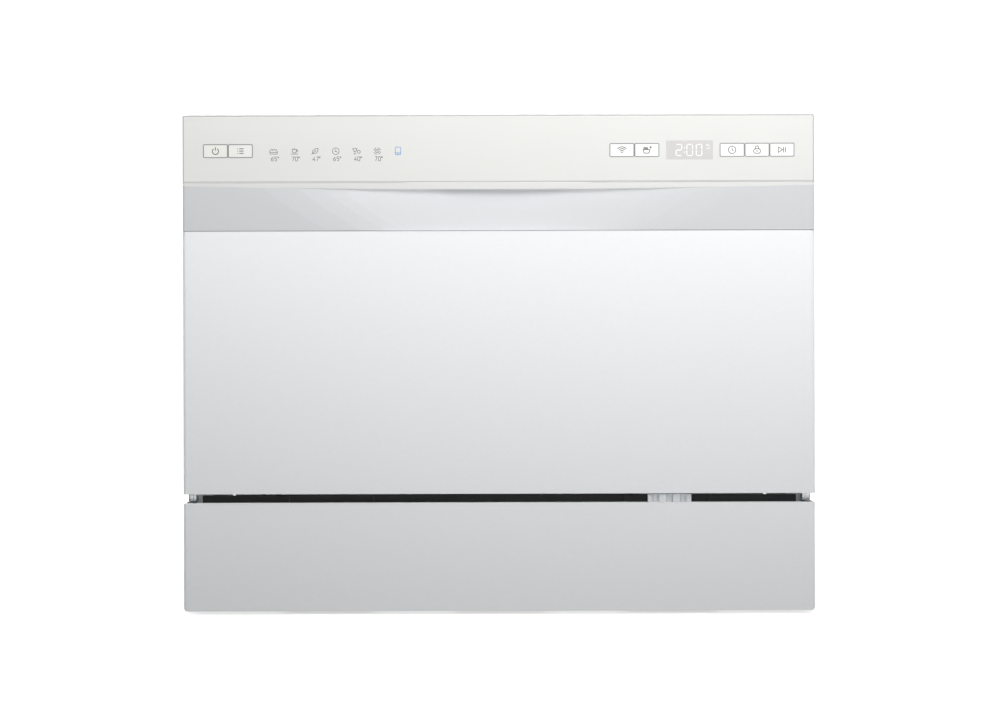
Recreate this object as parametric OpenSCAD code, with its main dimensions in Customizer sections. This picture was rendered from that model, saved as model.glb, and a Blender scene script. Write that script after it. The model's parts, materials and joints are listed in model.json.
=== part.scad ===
// Countertop dishwasher with a drop-down door, one sliding rack and one spray arm.
// Origin: centre of the footprint, on the worktop. Front faces -Y, height is +Z.

/* [Cabinet] */
// Width of the cabinet and of the door
body_w = 550; // [536:2:590]
// Depth from the fascia to the rear cover
body_d = 500; // [492:2:540]
// Gap between the worktop and the plinth
foot_gap = 3; // [2:0.5:6]
// Thickness of the painted steel sheet
sheet_t = 1; // [0.8:0.1:1.2]
// Setback of the wrapper behind the front face
wrapper_setback = 47; // [46.5:0.5:50]

/* [Front] */
// Height of the control fascia
fascia_h = 60; // [56:1:70]
// Height of the handle band
grip_h = 40.5; // [38:0.5:46]
// Height of the painted door panel
panel_h = 229.5; // [222:0.5:260]
// Gap between the kick plate and the door
door_gap = 8; // [8:0.5:11]
// Height of the kick plate
kick_h = 94; // [88:1:110]
// Thickness of the closed door
door_t = 45; // [44:0.5:46]
// Wall of the moulded plastic covers
moulding_t = 2.5; // [2:0.1:3]

/* [Handle] */
// Radius of the scoop across the handle band
scoop_r = 775; // [650:5:900]
// Depth of the scoop at the lower edge of the band
scoop_low = 8; // [6:0.5:10]
// Depth of the scoop at the upper edge of the band
scoop_high = 19; // [15:0.5:22]
// Width of the finger pocket behind the lip
pocket_w = 148; // [130:2:190]

/* [Buttons] */
// Width of a button cap
button_w = 20.6; // [18:0.1:20.6]
// Height of a button cap
button_h = 11; // [9:0.1:13]
// Pitch of neighbouring buttons
button_pitch = 21.7; // [21.7:0.1:23]
// Travel of a button
button_travel = 0.8; // [0.5:0.1:1.2]

/* [Tub] */
// Room between the tub and each side of the cabinet
tub_side_room = 30; // [30:0.5:40]
// Room between the tub and the back of the cabinet
tub_back_room = 55; // [50:1:65]
// Room above the tub
tub_top_room = 31; // [31:0.5:40]
// Thickness of the stainless sheet
tub_t = 1; // [0.8:0.1:1.2]
// Corner radius of the tub
tub_r = 25; // [15:1:32]

/* [Rack] */
// Gap between the rack and each side of the tub
rack_side_gap = 25; // [25:0.5:40]
// Gap between the rack and the tub's mouth and back
rack_end_gap = 28.5; // [26:0.5:45]
// Height of the rack's rim above its floor
rack_h = 130; // [110:1:135]
// Diameter of the coated wire
wire_d = 4; // [3:0.1:5]
// Diameter of the tines and shelf wires
tine_d = 3; // [2.4:0.1:3.4]
// Radius of a rack roller
roller_r = 11; // [9:0.5:12]

/* [Washing system] */
// Radius of the sump opening in the tub floor
sump_r = 95; // [90:1:105]
// Gap between the tips of the spray arm and the tub's walls
spray_gap = 31.5; // [24:0.5:55]
// Radius of the filter cup
filter_r = 26; // [22:0.5:28]
// Radius of the salt cap
salt_r = 36; // [30:1:38]

/* [Fits] */
// Running clearance of a pin in its hole
run_gap = 0.05; // [0.03:0.01:0.08]
// Clearance around buttons, caps and covers
cover_gap = 0.3; // [0.2:0.05:0.4]
// Radius of the door's hinge pin
hinge_pin_r = 2.5; // [2:0.1:2.8]

/* [Connections] */
// Radius of the inlet valve's thread, three quarter inch
inlet_r = 13.2; // [12:0.1:14]
// Radius of the drain spigot
drain_r = 9.5; // [8:0.1:11]

/* [Hidden] */
$fn = 48;
eps = 0.01;

front_y = -body_d / 2;
back_y = body_d / 2;
z_kick = foot_gap;
z_gap = z_kick + kick_h;
z_door = z_gap + door_gap;
z_grip = z_door + panel_h;
z_fascia = z_grip + grip_h;
z_top = z_fascia + fascia_h;
door_back_y = front_y + door_t;
wrapper_y = front_y + wrapper_setback;
// Hinge line, close behind the skin so that the open door clears the kick plate
pivot_y = front_y + 6;
pivot_z = z_door - 1.5;

// Underside of the base pan, above the worktop on its levelling feet
base_z = z_kick + 9;
base_t = 3;
base_front = front_y + 25;
base_back = back_y - 22;
base_half = body_w / 2 - 6.5;
base_rim_z = z_kick + 57;
foot_x = body_w / 2 - 40;
foot_front_y = front_y + 75;
foot_back_y = back_y - 60;
stem_r = 4;
boss_r = 12;
boss_h = 20;
rib_pitch = (body_w - 106) / 6;

// The tub hangs behind the door, with its mouth just clear of the liner's rim
tub_front = door_back_y + 7;
tub_back = back_y - tub_back_room;
tub_z = z_door + 17;
tub_top = z_top - tub_top_room;
tub_w = body_w - 2 * tub_side_room;
tub_d = tub_back - tub_front;
tub_h = tub_top - tub_z;
tub_mid_y = (tub_front + tub_back) / 2;
tub_floor = tub_z + tub_t;
tub_mid_z = tub_z + tub_h / 2;
tub_bead_z = [tub_z + 60, tub_z + 118];
bracket_x = body_w / 2 - 11;
bracket_t = 2;
screw_r = 3;
screw_side_y = [-0.3, 0, 0.3] * body_d;

// Places in the tub floor
sump_y = tub_mid_y - 18.5;
post_dy = 22;
cup_dy = -24;
well_r = 54;
well_z = tub_z - 52;
port_z = well_z + 14;
port_reach = well_r + 17;
filter_z = tub_floor + 2;
hub_pin_r = 8;
arm_z = filter_z + 14;
salt_x = -tub_w / 2 + 77;
salt_y = tub_back - 77;
float_x = -tub_w / 2 + 40;
float_y = tub_front + 30;
float_stem_r = 4;

pump_x = 0;
pump_y = sump_y + 120;
pump_z = tub_z - 62;
drain_pump_x = port_reach + 1;
heater_x = -port_reach - 79;
heater_y = sump_y - 110;
spray_reach = tub_d / 2 - spray_gap;
arm_t = 2;

// Places on the door
latch_z = z_fascia + 44;
pawl_y = door_back_y - 24;
pawl_z = latch_z + 5;
lip_dip = 4.4;
board_y = front_y + 14;
boss_xs = [-body_w / 2 + 12, -90, 90, body_w / 2 - 12];
pocket_top = z_fascia + 15;
button_z = z_top - 31.2;
button_left = -body_w / 2 + 28.7;
button_mid = body_w / 2 - 167.5;
button_right = body_w / 2 - 28.2;
button_xs = [button_left, button_left + button_pitch, button_mid, button_mid + button_pitch,
  button_right - 2 * button_pitch, button_right - button_pitch, button_right];
display_x = body_w / 2 - 108.6;
display_w = 40.2;
display_h = 16.3;
dish_depth = 12;
grip_d = 29;
dish_w = body_w - 86;
dish_low = z_door + 32;
dish_high = z_top - 32;
dish_h = dish_high - dish_low;
dish_z = (dish_low + dish_high) / 2;
disp_x = 70;
disp_z = dish_z + 10;
disp_w = 104;
disp_h = 76;
cap_x = disp_x + 32;
cap_r = 13;

// Connections in the recess below the rear cover
inlet_z = base_z + 28;
inlet_x = -body_w / 2 + 70;
drain_x = inlet_x + 55;
gland_x = body_w / 2 - 60;
gland_r = 8;

// Rack and its rails
rack_w = tub_w - 2 * rack_side_gap;
rack_d = tub_d - 2 * rack_end_gap;
rack_y = tub_mid_y - 3.5;
floor_z = tub_floor + 66;
rim_z = floor_z + rack_h;
axle_z = rim_z - 20;
axle_r = 3;
rail_front = tub_front + 4;
rail_back = tub_back - 6;
roller_front_y = rack_y + 50;
roller_back_y = rack_y + 155;
roller_w = 8;
roller_x0 = tub_w / 2 - tub_t - 2 - 0.8 - roller_w;
axle_end_x = tub_w / 2 - tub_t - 2 - 0.5;
weld_step = wire_d - 0.3;
cross_count = 8;
cross_pitch = (rack_d - 46) / 7;
cross_y0 = rack_y - 3.5 * cross_pitch;
long_count = 8;
long_pitch = (rack_w - 90) / (long_count - 1);
fold_y = cross_y0 + 5.5 * cross_pitch;
fold_z = floor_z + weld_step + wire_d / 2 + 2 + tine_d / 2;
shelf_x = -rack_w / 2 + weld_step;
shelf_z = axle_z - 6;
shelf_reach = 96;
shelf_clip_y = [for (i = [1.5, 3.5, 5.5]) cross_y0 + i * cross_pitch];

// Thin plate centred on X and Z, lying in the XZ plane from y0 to y1
module slab_y(w, h, r, y0, y1) {
  translate([0, y1, 0]) rotate([90, 0, 0]) linear_extrude(y1 - y0) round_rect(w, h, r);
}

// Rectangle with rounded corners, centred
module round_rect(w, h, r) {
  offset(r) square([w - 2 * r, h - 2 * r], center = true);
}

// Box given by its low and high corners
module span(a, b) {
  translate(a) cube(b - a);
}

// Copies its children to the right and, mirrored, to the left
module both_sides() {
  children();
  mirror([1, 0, 0]) children();
}

// Cover tray open to the back: plan corners of radius r at the front, walls of t all round
module tray(w, h, d, t, r) {
  difference() {
    plan_block(w, h, d, r);
    translate([0, t, t]) plan_block(w - 2 * t, h - 2 * t, d, max(r - t, 0.2));
  }
}

// Block from the front plane back by d, with its two front edges rounded in plan
module plan_block(w, h, d, r) {
  linear_extrude(h) intersection() {
    translate([0, d]) round_rect(w, 2 * d, r);
    translate([-w / 2, 0]) square([w, d]);
  }
}

// Painted U-shaped steel wrapper: top and both sides, with a folded lip at the front
module cabinet_wrapper() {
  h = z_top - z_kick;
  lip = 6;
  color("gainsboro") difference() {
    translate([0, 0, z_kick + h / 2]) slab_y(body_w, h, 5, wrapper_y, back_y - sheet_t - 0.2);
    translate([0, 0, z_kick + h / 2 - 5 - sheet_t])
      slab_y(body_w - 2 * sheet_t, h + 10, 4, wrapper_y + sheet_t, back_y);
    translate([0, 0, z_kick + h / 2 - 5 - lip])
      slab_y(body_w - 2 * lip, h + 10, 3, wrapper_y - 1, wrapper_y + 2 * sheet_t);
    for (s = [-1, 1]) translate([s * (body_w / 2 - sheet_t / 2), 0, 0])
      for (y = screw_side_y) translate([0, y, base_z + 24]) rotate([0, 90, 0])
        cylinder(r = screw_r + 0.2, h = 6, center = true);
  }
}

// Rear sheet with two pressed stiffening beads
module rear_cover() {
  z0 = base_rim_z + 4;
  w = body_w - 2 * sheet_t - 5;
  h = z_top - 4 - z0;
  bead_h = 12;
  color("silver") difference() {
    union() {
      translate([0, 0, z0 + h / 2]) slab_y(w, h, 4, back_y - sheet_t, back_y);
      for (f = [0.28, 0.72]) translate([0, 0, z0 + f * h])
        slab_y(w - 90, bead_h, bead_h / 2 - eps, back_y - 3, back_y - sheet_t / 2);
    }
    for (f = [0.28, 0.72]) translate([0, 0, z0 + f * h])
      slab_y(w - 90 - 2 * sheet_t, bead_h - 2 * sheet_t, bead_h / 2 - sheet_t - eps,
        back_y - 2, back_y + 1);
    for (x = [-1, 1], f = [0.06, 0.94]) translate([x * (w / 2 - 8), back_y, z0 + f * h])
      rotate([90, 0, 0]) cylinder(r = screw_r + 0.2, h = 6, center = true);
  }
}

// Moulded base: floor, walls, foot bosses, pump seats and the ribbed wall behind the gap
module base_pan() {
  wall = moulding_t;
  d = base_back - base_front;
  mid_y = (base_front + base_back) / 2;
  front_top = z_door - 2;
  rib_half = base_half - 78;
  color("#1c1c1e") difference() {
    union() {
      difference() {
        translate([0, mid_y, base_z]) linear_extrude(base_rim_z - base_z)
          round_rect(2 * base_half, d, 3);
        translate([0, mid_y, base_z + base_t]) linear_extrude(base_rim_z)
          round_rect(2 * base_half - 2 * wall, d - 2 * wall, 0.04);
      }
      span([-base_half + 8, base_front, base_z + 1], [base_half - 8, base_front + wall, front_top]);
      for (i = [-2.5 : 2.5]) translate([i * rib_pitch - 1, base_front - 4, base_z + 2])
        cube([2, 4 + eps, front_top - base_z - 2]);
      for (x = [-1, 1], y = [foot_front_y, foot_back_y]) translate([x * foot_x, y, base_z])
        cylinder(r = boss_r, h = boss_h);
      for (f = [-0.19, -0.01, 0.17])
        span([-rib_half, f * body_d, base_z + 1], [rib_half, f * body_d + wall, base_z + 12]);
      for (x = [-90, 90]) span([x, base_front + 1, base_z + 1], [x + wall, base_back - 1, base_z + 9]);
    }
    for (x = [-1, 1], y = [foot_front_y, foot_back_y]) translate([x * foot_x, y, base_z - 1])
      cylinder(r = stem_r + run_gap, h = boss_h + 2);
    both_sides() span([bracket_x - 2, base_front - 6, z_gap - 2],
      [bracket_x + bracket_t + 2, base_front + wall + 1, z_door]);
    translate([inlet_x, base_back, inlet_z]) rotate([90, 0, 0])
      cylinder(r = inlet_r + 3 + cover_gap, h = 20, center = true);
    translate([drain_x, base_back, inlet_z]) rotate([90, 0, 0])
      cylinder(r = drain_r + 4 + cover_gap, h = 20, center = true);
    translate([gland_x, base_back, inlet_z]) rotate([90, 0, 0])
      cylinder(r = gland_r + cover_gap, h = 20, center = true);
  }
}

// Painted steel plinth below the door, folded back to the wrapper
module kick_plate() {
  corner = 3.5;
  color("lightgray") intersection() {
    translate([0, front_y, z_kick]) difference() {
      tray(body_w, kick_h, wrapper_setback - 1, sheet_t, 3);
      for (x = [-150, 0, 150]) translate([x - 40, 16, -1]) cube([80, wrapper_setback, sheet_t + 2]);
      span([-body_w / 2 + sheet_t, 14, kick_h - sheet_t - 1],
        [body_w / 2 - sheet_t, wrapper_setback, kick_h + 1]);
    }
    translate([0, 0, z_kick + kick_h / 2]) {
      slab_y(body_w, kick_h, corner, front_y - 1, wrapper_y);
      translate([0, 0, corner]) slab_y(body_w, kick_h - 2 * corner + eps, 0.01, front_y - 1, wrapper_y);
      span([-body_w / 2, front_y - 1, 0], [body_w / 2, wrapper_y, kick_h / 2]);
    }
  }
}

// Light plastic guide that leads the door's wiring through the gap
module harness_guide() {
  w = 38;
  x0 = body_w / 2 - 145;
  h = z_door - 1.6 - (base_z + 30);
  color("darkgray") difference() {
    translate([x0, base_front - 10, base_z + 30]) cube([w, 10, h]);
    for (x = [7, 19, 31]) translate([x0 + x, base_front - 10, base_z + 29]) cylinder(r = 3, h = h + 2);
  }
}

// Stainless tub: drawn box with wide corner radii, front flange and openings in its floor
module tub() {
  mouth_w = tub_w - 2 * tub_t;
  mouth_h = tub_h - 2 * tub_t;
  flange_z = (z_door + 4 + z_top - 6) / 2;
  flange_h = z_top - 6 - (z_door + 4);
  flange_w = body_w - 14;
  color("silver") difference() {
    union() {
      translate([0, 0, tub_mid_z]) slab_y(tub_w, tub_h, tub_r, tub_front - tub_t, tub_back);
      difference() {
        translate([0, 0, flange_z]) slab_y(flange_w, flange_h, 5, tub_front - tub_t, tub_front + 7);
        translate([0, 0, flange_z])
          slab_y(flange_w - 2 * tub_t, flange_h - 2 * tub_t, 4, tub_front, tub_front + 8);
      }
      for (z = tub_bead_z) both_sides() translate([tub_w / 2 - tub_t, tub_front + 40, z])
        rotate([-90, 0, 0]) cylinder(r = 4, h = tub_d - 80);
    }
    translate([0, 0, tub_mid_z]) slab_y(mouth_w, mouth_h, tub_r - tub_t, tub_front - 2, tub_back - tub_t);
    for (z = tub_bead_z) both_sides() translate([tub_w / 2 - tub_t, tub_front + 41, z])
      rotate([-90, 0, 0]) cylinder(r = 3, h = tub_d - 82);
    translate([0, sump_y, tub_z - 1]) cylinder(r = sump_r - 8, h = 5, $fn = 96);
    translate([salt_x, salt_y, tub_z - 1]) cylinder(r = salt_r - 6, h = 5);
    translate([float_x, float_y, tub_z - 1]) cylinder(r = float_stem_r + 1, h = 5);
  }
}

// Rubber seal between the tub's mouth and the door liner, with a soft outer lip
module door_seal() {
  w = tub_w + 2;
  h = tub_h + 2;
  band = 12;
  y0 = door_back_y + cover_gap;
  y1 = tub_front - tub_t;
  color("#2b2b2d") translate([0, 0, tub_mid_z]) difference() {
    union() {
      slab_y(w + 2 * band, h + 2 * band, tub_r + band, y0 + 2.5, y1);
      slab_y(w + 2 * band - 5, h + 2 * band - 5, tub_r + band - 2.5, y0, y1);
    }
    slab_y(w, h, tub_r, y0 - 1, y1 + 1);
    difference() {
      slab_y(w + 2 * band - 11, h + 2 * band - 11, tub_r + band - 5.5, y0 - 1, y0 + 2.5);
      slab_y(w + 5, h + 5, tub_r + 2.5, y0 - 2, y0 + 3);
    }
  }
}

// Two channels on the tub's side walls that hold the rack rollers captive
module rack_rails() {
  web_x = tub_w / 2 - tub_t;
  inner_x = web_x - 14;
  flange = 2;
  low = axle_z - roller_r - cover_gap;
  high = axle_z + roller_r + 1;
  color("#b8babd") both_sides() difference() {
    span([inner_x, rail_front, low - flange], [web_x, rail_back, high + flange]);
    span([inner_x - 1, rail_front + flange, axle_z - 6], [web_x - 2, rail_back - flange, axle_z + 6]);
    span([inner_x + 1.5, rail_front + flange, low], [web_x - 2, rail_back - flange, high]);
    for (y = [rail_front + 30, rail_back - 30]) translate([web_x - 1, y, axle_z])
      rotate([0, 90, 0]) cylinder(r = 2.2, h = 6, center = true);
  }
}

// Sump under the tub floor: stepped bowl with ports and the spray arm's hollow post
module sump() {
  wall = moulding_t;
  color("#3a3c40") translate([0, sump_y, 0]) difference() {
    union() {
      rotate_extrude($fn = 96) polygon([[0, well_z - wall], [well_r + wall, well_z - wall],
        [well_r + wall, tub_z - 20 - wall], [sump_r - 8, tub_z - 10 - wall], [sump_r, tub_z - 8],
        [sump_r, tub_z - 0.4], [sump_r - 11, tub_z - 0.4], [sump_r - 12, tub_z - 9],
        [well_r, tub_z - 20], [well_r, well_z], [0, well_z]]);
      translate([0, post_dy, well_z - 1]) cylinder(r = 9, h = filter_z - well_z + 2);
      translate([0, post_dy, well_z - 1]) cylinder(r = hub_pin_r, h = arm_z + 16 - well_z);
      translate([0, post_dy, filter_z]) cylinder(r = 13, h = arm_z - 1 - filter_z);
      for (a = [0, 90, 180]) rotate(a) translate([well_r + 1, 0, port_z]) rotate([0, 90, 0])
        cylinder(r = a == 0 ? 10 : 12, h = 16);
    }
    translate([0, post_dy, well_z + 4]) cylinder(r = hub_pin_r - 3, h = 120);
    for (a = [0, 90, 180]) rotate(a) translate([well_r - 6, 0, port_z]) rotate([0, 90, 0])
      cylinder(r = a == 0 ? 7.5 : 9.5, h = 40);
  }
}

// Perforated stainless filter plate lying over the sump, with holes for the post and the cup
module flat_filter() {
  rings = [38, 50, 62, 74];
  z0 = filter_z - 1.6;
  color("#c9cbce") translate([0, sump_y, 0]) difference() {
    union() {
      translate([0, 0, z0]) cylinder(r = sump_r - 13, h = 1.2, $fn = 96);
      translate([0, cup_dy, z0 - 3]) cylinder(r = filter_r + 3, h = 4.2);
    }
    translate([0, post_dy, z0 - 1]) cylinder(r = 9 + cover_gap, h = 4);
    translate([0, cup_dy, z0 - 4]) cylinder(r = filter_r + run_gap, h = 8);
    for (r = rings) for (i = [0 : 11]) {
      p = [r * cos(15 + i * 30), r * sin(15 + i * 30)];
      if (norm(p - [0, post_dy]) > 22 && norm(p - [0, cup_dy]) > filter_r + 8)
        translate([p[0], p[1], z0 - 1]) cylinder(r = 3.2, h = 4, $fn = 16);
    }
  }
}

// Filter cup: mesh cylinder with a turning grip, seated in the flat filter
module filter_cup() {
  z0 = tub_z - 46;
  wall = 1.6;
  slots = 10;
  color("#e8e9ea") translate([0, sump_y + cup_dy, 0]) difference() {
    union() {
      translate([0, 0, z0]) cylinder(r = filter_r - 3, h = filter_z + 2 - z0);
      translate([0, 0, filter_z - 5]) cylinder(r = filter_r, h = 5);
      translate([0, 0, filter_z - 0.2]) cylinder(r = filter_r + 4, h = 2.2);
      translate([0, 0, filter_z + 1]) difference() {
        cylinder(r = filter_r + 2, h = 9);
        cylinder(r = filter_r - 0.5, h = 12);
        for (a = [0, 90]) rotate(a) translate([-40, -10, -1]) cube([80, 20, 14]);
      }
    }
    translate([0, 0, z0 + wall]) cylinder(r = filter_r - 3 - wall, h = 100);
    for (i = [0 : slots - 1]) rotate(i * 360 / slots) for (z = [z0 + 6, z0 + 20])
      translate([filter_r - 8, -3, z]) cube([10, 6, 10]);
  }
}

// Lower spray arm: crowned hollow blade with angled nozzle slits and a bored hub
module spray_arm() {
  t = 11;
  tip = 13;
  color("#dfe1e3") translate([0, sump_y + post_dy, arm_z]) difference() {
    union() {
      for (a = [0, 180]) rotate(a) intersection() {
        linear_extrude(t) hull() {
          circle(r = 24, $fn = 32);
          translate([spray_reach - tip, 0]) circle(r = tip, $fn = 32);
        }
        translate([0, 60, 0]) rotate([90, 0, 0]) linear_extrude(120)
          polygon([[0, 0], [60, 0], [spray_reach, 3], [spray_reach + 1, 7], [spray_reach - 20, 9],
            [30, t], [0, t]]);
      }
      cylinder(r = 24, h = t);
      cylinder(r = 17, h = t + 3);
      cylinder(r = 12, h = t + 9);
    }
    translate([0, 0, -1]) cylinder(r = hub_pin_r + run_gap, h = t + 7);
    for (a = [0, 180], x = [48, 74, 100, 124, 146]) rotate(a) translate([x, 0, 6])
      rotate([12, 0, a / 4]) translate([-1, -5, 0]) cube([2, 10, t]);
  }
}

// Circulation pump: motor can with cooling ribs, volute and outlet neck
module wash_pump() {
  color("#57595d") translate([pump_x, pump_y, pump_z]) {
    rotate([90, 0, 90]) cylinder(r = 30, h = 16);
    translate([16 - eps, 0, 0]) rotate([90, 0, 90]) cylinder(r = 33, h = 12);
    translate([28 - eps, 0, 0]) rotate([90, 0, 90]) cylinder(r = 27, h = 40);
    for (i = [0 : 2]) translate([36 + i * 11, 0, 0]) rotate([90, 0, 90]) cylinder(r = 30, h = 4);
    translate([8, 0, 0]) cylinder(r = 9, h = 40);
    translate([-12, 0, 0]) rotate([90, 0, 90]) cylinder(r = 11, h = 13);
  }
}

// Drain pump: small motor on a bayonet volute, beside the sump
module drain_pump() {
  color("#7a4a2a") translate([drain_pump_x, sump_y, port_z]) {
    rotate([0, 90, 0]) cylinder(r = 18, h = 14);
    translate([14 - eps, 0, 0]) rotate([0, 90, 0]) cylinder(r = 20, h = 4);
    translate([18 - 2 * eps, 0, 0]) rotate([0, 90, 0]) cylinder(r = 16, h = 36);
    translate([54 - 3 * eps, -14, -10]) cube([6, 28, 20]);
    translate([7, 0, 0]) rotate([-90, 0, 0]) cylinder(r = 8, h = 40);
  }
}

// Flow heater: steel tube with end caps and terminals between pump and sump
module flow_heater() {
  color("#a8aaad") translate([heater_x, heater_y, pump_z]) {
    rotate([0, 90, 0]) cylinder(r = 20, h = 130);
    for (x = [-6, 122]) translate([x, 0, 0]) rotate([0, 90, 0]) cylinder(r = 23, h = 14);
    translate([40, 18, 0]) rotate([-90, 0, 0]) cylinder(r = 9, h = 15);
    translate([50, 0, 15]) cylinder(r = 5, h = 12);
    translate([80, 0, 15]) cylinder(r = 5, h = 12);
    for (y = [-8, 8]) translate([-14, y - 3, -0.5]) cube([9, 6, 1]);
  }
}

// Softener tank with its threaded filling neck that comes up through the tub floor
module water_softener() {
  tank_z = base_z + 34;
  tank_h = tub_z - 6 - tank_z;
  color("#e6e6e2") difference() {
    union() {
      translate([salt_x + 5, salt_y, tank_z]) linear_extrude(tank_h) round_rect(150, 118, 20);
      translate([salt_x, salt_y, tank_z + 5]) cylinder(r = salt_r - 6.5, h = tub_floor + 3 - tank_z - 5);
      translate([salt_x, salt_y, tub_z - 5]) cylinder(r = salt_r - 1, h = 4.6);
      for (x = [-50, 50]) translate([salt_x + 5 + x, salt_y, base_z + base_t]) cylinder(r = 7, h = 34);
    }
    translate([salt_x, salt_y, tank_z + 3]) cylinder(r = salt_r - 12, h = 100);
  }
}

// Salt cap with a raised grip bar and a plug that turns in the softener's neck
module salt_cap() {
  z0 = tub_floor + 3 + cover_gap;
  color("#2f5fa8") translate([salt_x, salt_y, 0]) difference() {
    union() {
      translate([0, 0, z0]) cylinder(r = salt_r, h = 5);
      translate([0, 0, z0 - 14]) cylinder(r = salt_r - 12 - run_gap, h = 15);
      translate([-salt_r + 6, -4, z0 + 4]) cube([2 * salt_r - 12, 8, 7]);
      for (i = [0 : 11]) rotate(i * 30) translate([salt_r, 0, z0]) cylinder(r = 2, h = 5);
    }
    translate([0, 0, z0 - 15]) cylinder(r = salt_r - 15, h = 16);
  }
}

// Air break: flat moulded channel box in the left side space, with its vent neck
module air_break() {
  x0 = -body_w / 2 + sheet_t + 2;
  w = tub_side_room - 7;
  y0 = tub_front + 88;
  y1 = tub_back - 125;
  z0 = tub_z + 18;
  h = tub_h - 52;
  rows = 5;
  row = (h - 5) / rows;
  color("#d8d8d4") difference() {
    union() {
      span([x0, y0, z0], [x0 + w, y1, z0 + h]);
      for (y = [y0 + 20, y1 - 40]) span([x0 + 4, y, z0 - 40], [x0 + w - 5, y + 20, z0 + 1]);
    }
    for (i = [0 : rows - 1])
      span([x0 - 1, y0 + 6, z0 + 8 + i * row], [x0 + 2, y1 - 6, z0 + (i + 1) * row - 1]);
  }
}

// Inlet valve: threaded spigot through the base's rear wall, body and coil
module inlet_valve() {
  color("#e8e8e4") translate([inlet_x, 0, inlet_z]) difference() {
    union() {
      translate([0, back_y - 2, 0]) rotate([90, 0, 0]) cylinder(r = inlet_r, h = 19.5);
      translate([0, base_back + 1.5, 0]) rotate([90, 0, 0]) cylinder(r = inlet_r + 3, h = 20);
      translate([-16, base_back - 46, -16]) cube([32, 29, 32]);
      translate([0, base_back - 32, 15]) cylinder(r = 14, h = 30);
    }
    translate([0, back_y + 1, 0]) rotate([90, 0, 0]) cylinder(r = inlet_r - 4, h = 38);
  }
}

// Drain spigot with a chamfered lead-in, on a flange in the rear wall
module drain_outlet() {
  color("#2a2a2c") translate([drain_x, 0, inlet_z]) difference() {
    union() {
      translate([0, back_y - 4, 0]) rotate([90, 0, 0]) cylinder(r = drain_r, h = 37);
      translate([0, back_y - 2, 0]) rotate([90, 0, 0]) cylinder(r1 = drain_r - 1, r2 = drain_r, h = 2 + eps);
      translate([0, base_back + 1.5, 0]) rotate([90, 0, 0]) cylinder(r = drain_r + 4, h = 8);
    }
    translate([0, back_y, 0]) rotate([90, 0, 0]) cylinder(r = drain_r - 2.5, h = 64);
  }
}

// Hoses inside the base, from the sump to the pumps, the heater and the spigot
module inner_hoses() {
  color("#3b3b3e") {
    tube_run([[drain_pump_x + 7, sump_y + 40, port_z], [drain_pump_x + 7, back_y - 60, port_z],
      [20, back_y - 50, inlet_z + 12], [drain_x, back_y - 54, inlet_z],
      [drain_x, back_y - 41, inlet_z]], 9);
    tube_run([[0, sump_y + port_reach, port_z], [0, sump_y + port_reach + 14, port_z],
      [pump_x - 32, pump_y - 22, pump_z + 12], [pump_x - 32, pump_y, pump_z],
      [pump_x - 12, pump_y, pump_z]], 12);
    tube_run([[-port_reach, sump_y, port_z], [heater_x + 40, sump_y, port_z],
      [heater_x + 40, heater_y + 62, pump_z], [heater_x + 40, heater_y + 33, pump_z]], 11);
  }
}

// Hose through a list of points, rounded at each bend
module tube_run(points, r) {
  last = len(points) - 1;
  mid = [for (i = [0 : last - 1]) (points[i] + points[i + 1]) / 2];
  curve = [points[0], for (i = [1 : last - 1]) for (k = [0 : 5]) let (u = k / 5)
    (1 - u) * (1 - u) * mid[i - 1] + 2 * u * (1 - u) * points[i] + u * u * mid[i], points[last]];
  path = [for (i = [0 : len(curve) - 1]) if (i == 0 || norm(curve[i] - curve[i - 1]) > 0.5) curve[i]];
  swept_wire(path, r, 10, [0, 0, 1]);
}

// Float dome on a stem through the tub floor
module float() {
  z0 = tub_floor + cover_gap;
  color("#f2f2f0") translate([float_x, float_y, 0]) difference() {
    union() {
      translate([0, 0, z0]) cylinder(r = 15, h = 22);
      translate([0, 0, z0 + 22 - eps]) cylinder(r1 = 15, r2 = 11, h = 5);
      translate([0, 0, tub_z - 22]) cylinder(r = float_stem_r, h = 40);
    }
    translate([0, 0, z0 - 1]) difference() {
      cylinder(r = 13, h = 20);
      cylinder(r = float_stem_r + 2, h = 20);
    }
  }
}

// Float switch and the guide tube of the float's stem, below the tub floor
module float_switch() {
  color("#33507a") translate([float_x, float_y, 0]) difference() {
    union() {
      translate([0, 0, tub_z - 20]) cylinder(r = float_stem_r + 3, h = 19.6);
      translate([-9, 5.5, tub_z - 34]) cube([18, 12, 30]);
      translate([-7, 4, tub_z - 16]) cube([14, 5, 8]);
      translate([-4, -5, tub_z - 34]) cube([8, 13, 3]);
    }
    translate([0, 0, tub_z - 21]) cylinder(r = float_stem_r + run_gap, h = 22);
  }
}

// Steel brackets on the base that carry the door's hinge pins
module hinge_brackets() {
  reach = wrapper_y - 1 - pivot_y;
  color("silver") both_sides() {
    translate([bracket_x, 0, 0]) difference() {
      union() {
        translate([0, pivot_y, pivot_z]) rotate([0, 90, 0]) cylinder(r = 4.5, h = bracket_t);
        span([0, pivot_y, pivot_z - 4.5], [bracket_t, pivot_y + reach, pivot_z]);
        span([0, pivot_y + reach - 12, base_z + 12], [bracket_t, pivot_y + reach, pivot_z]);
        span([-12, base_front + moulding_t, base_z + 30], [bracket_t, base_front + moulding_t + 2, pivot_z]);
        span([0, base_front + moulding_t, base_z + 30], [bracket_t, pivot_y + reach, pivot_z]);
      }
      translate([-1, pivot_y + reach - 5, base_z + 20]) rotate([0, 90, 0]) cylinder(r = 2, h = 6);
    }
    translate([bracket_x + bracket_t - eps, pivot_y, pivot_z]) rotate([0, 90, 0])
      cylinder(r = hinge_pin_r, h = arm_t + 1.6);
    translate([bracket_x + bracket_t + arm_t + 0.7, pivot_y, pivot_z]) rotate([0, 90, 0])
      cylinder(r = 4, h = 1);
  }
}

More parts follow.
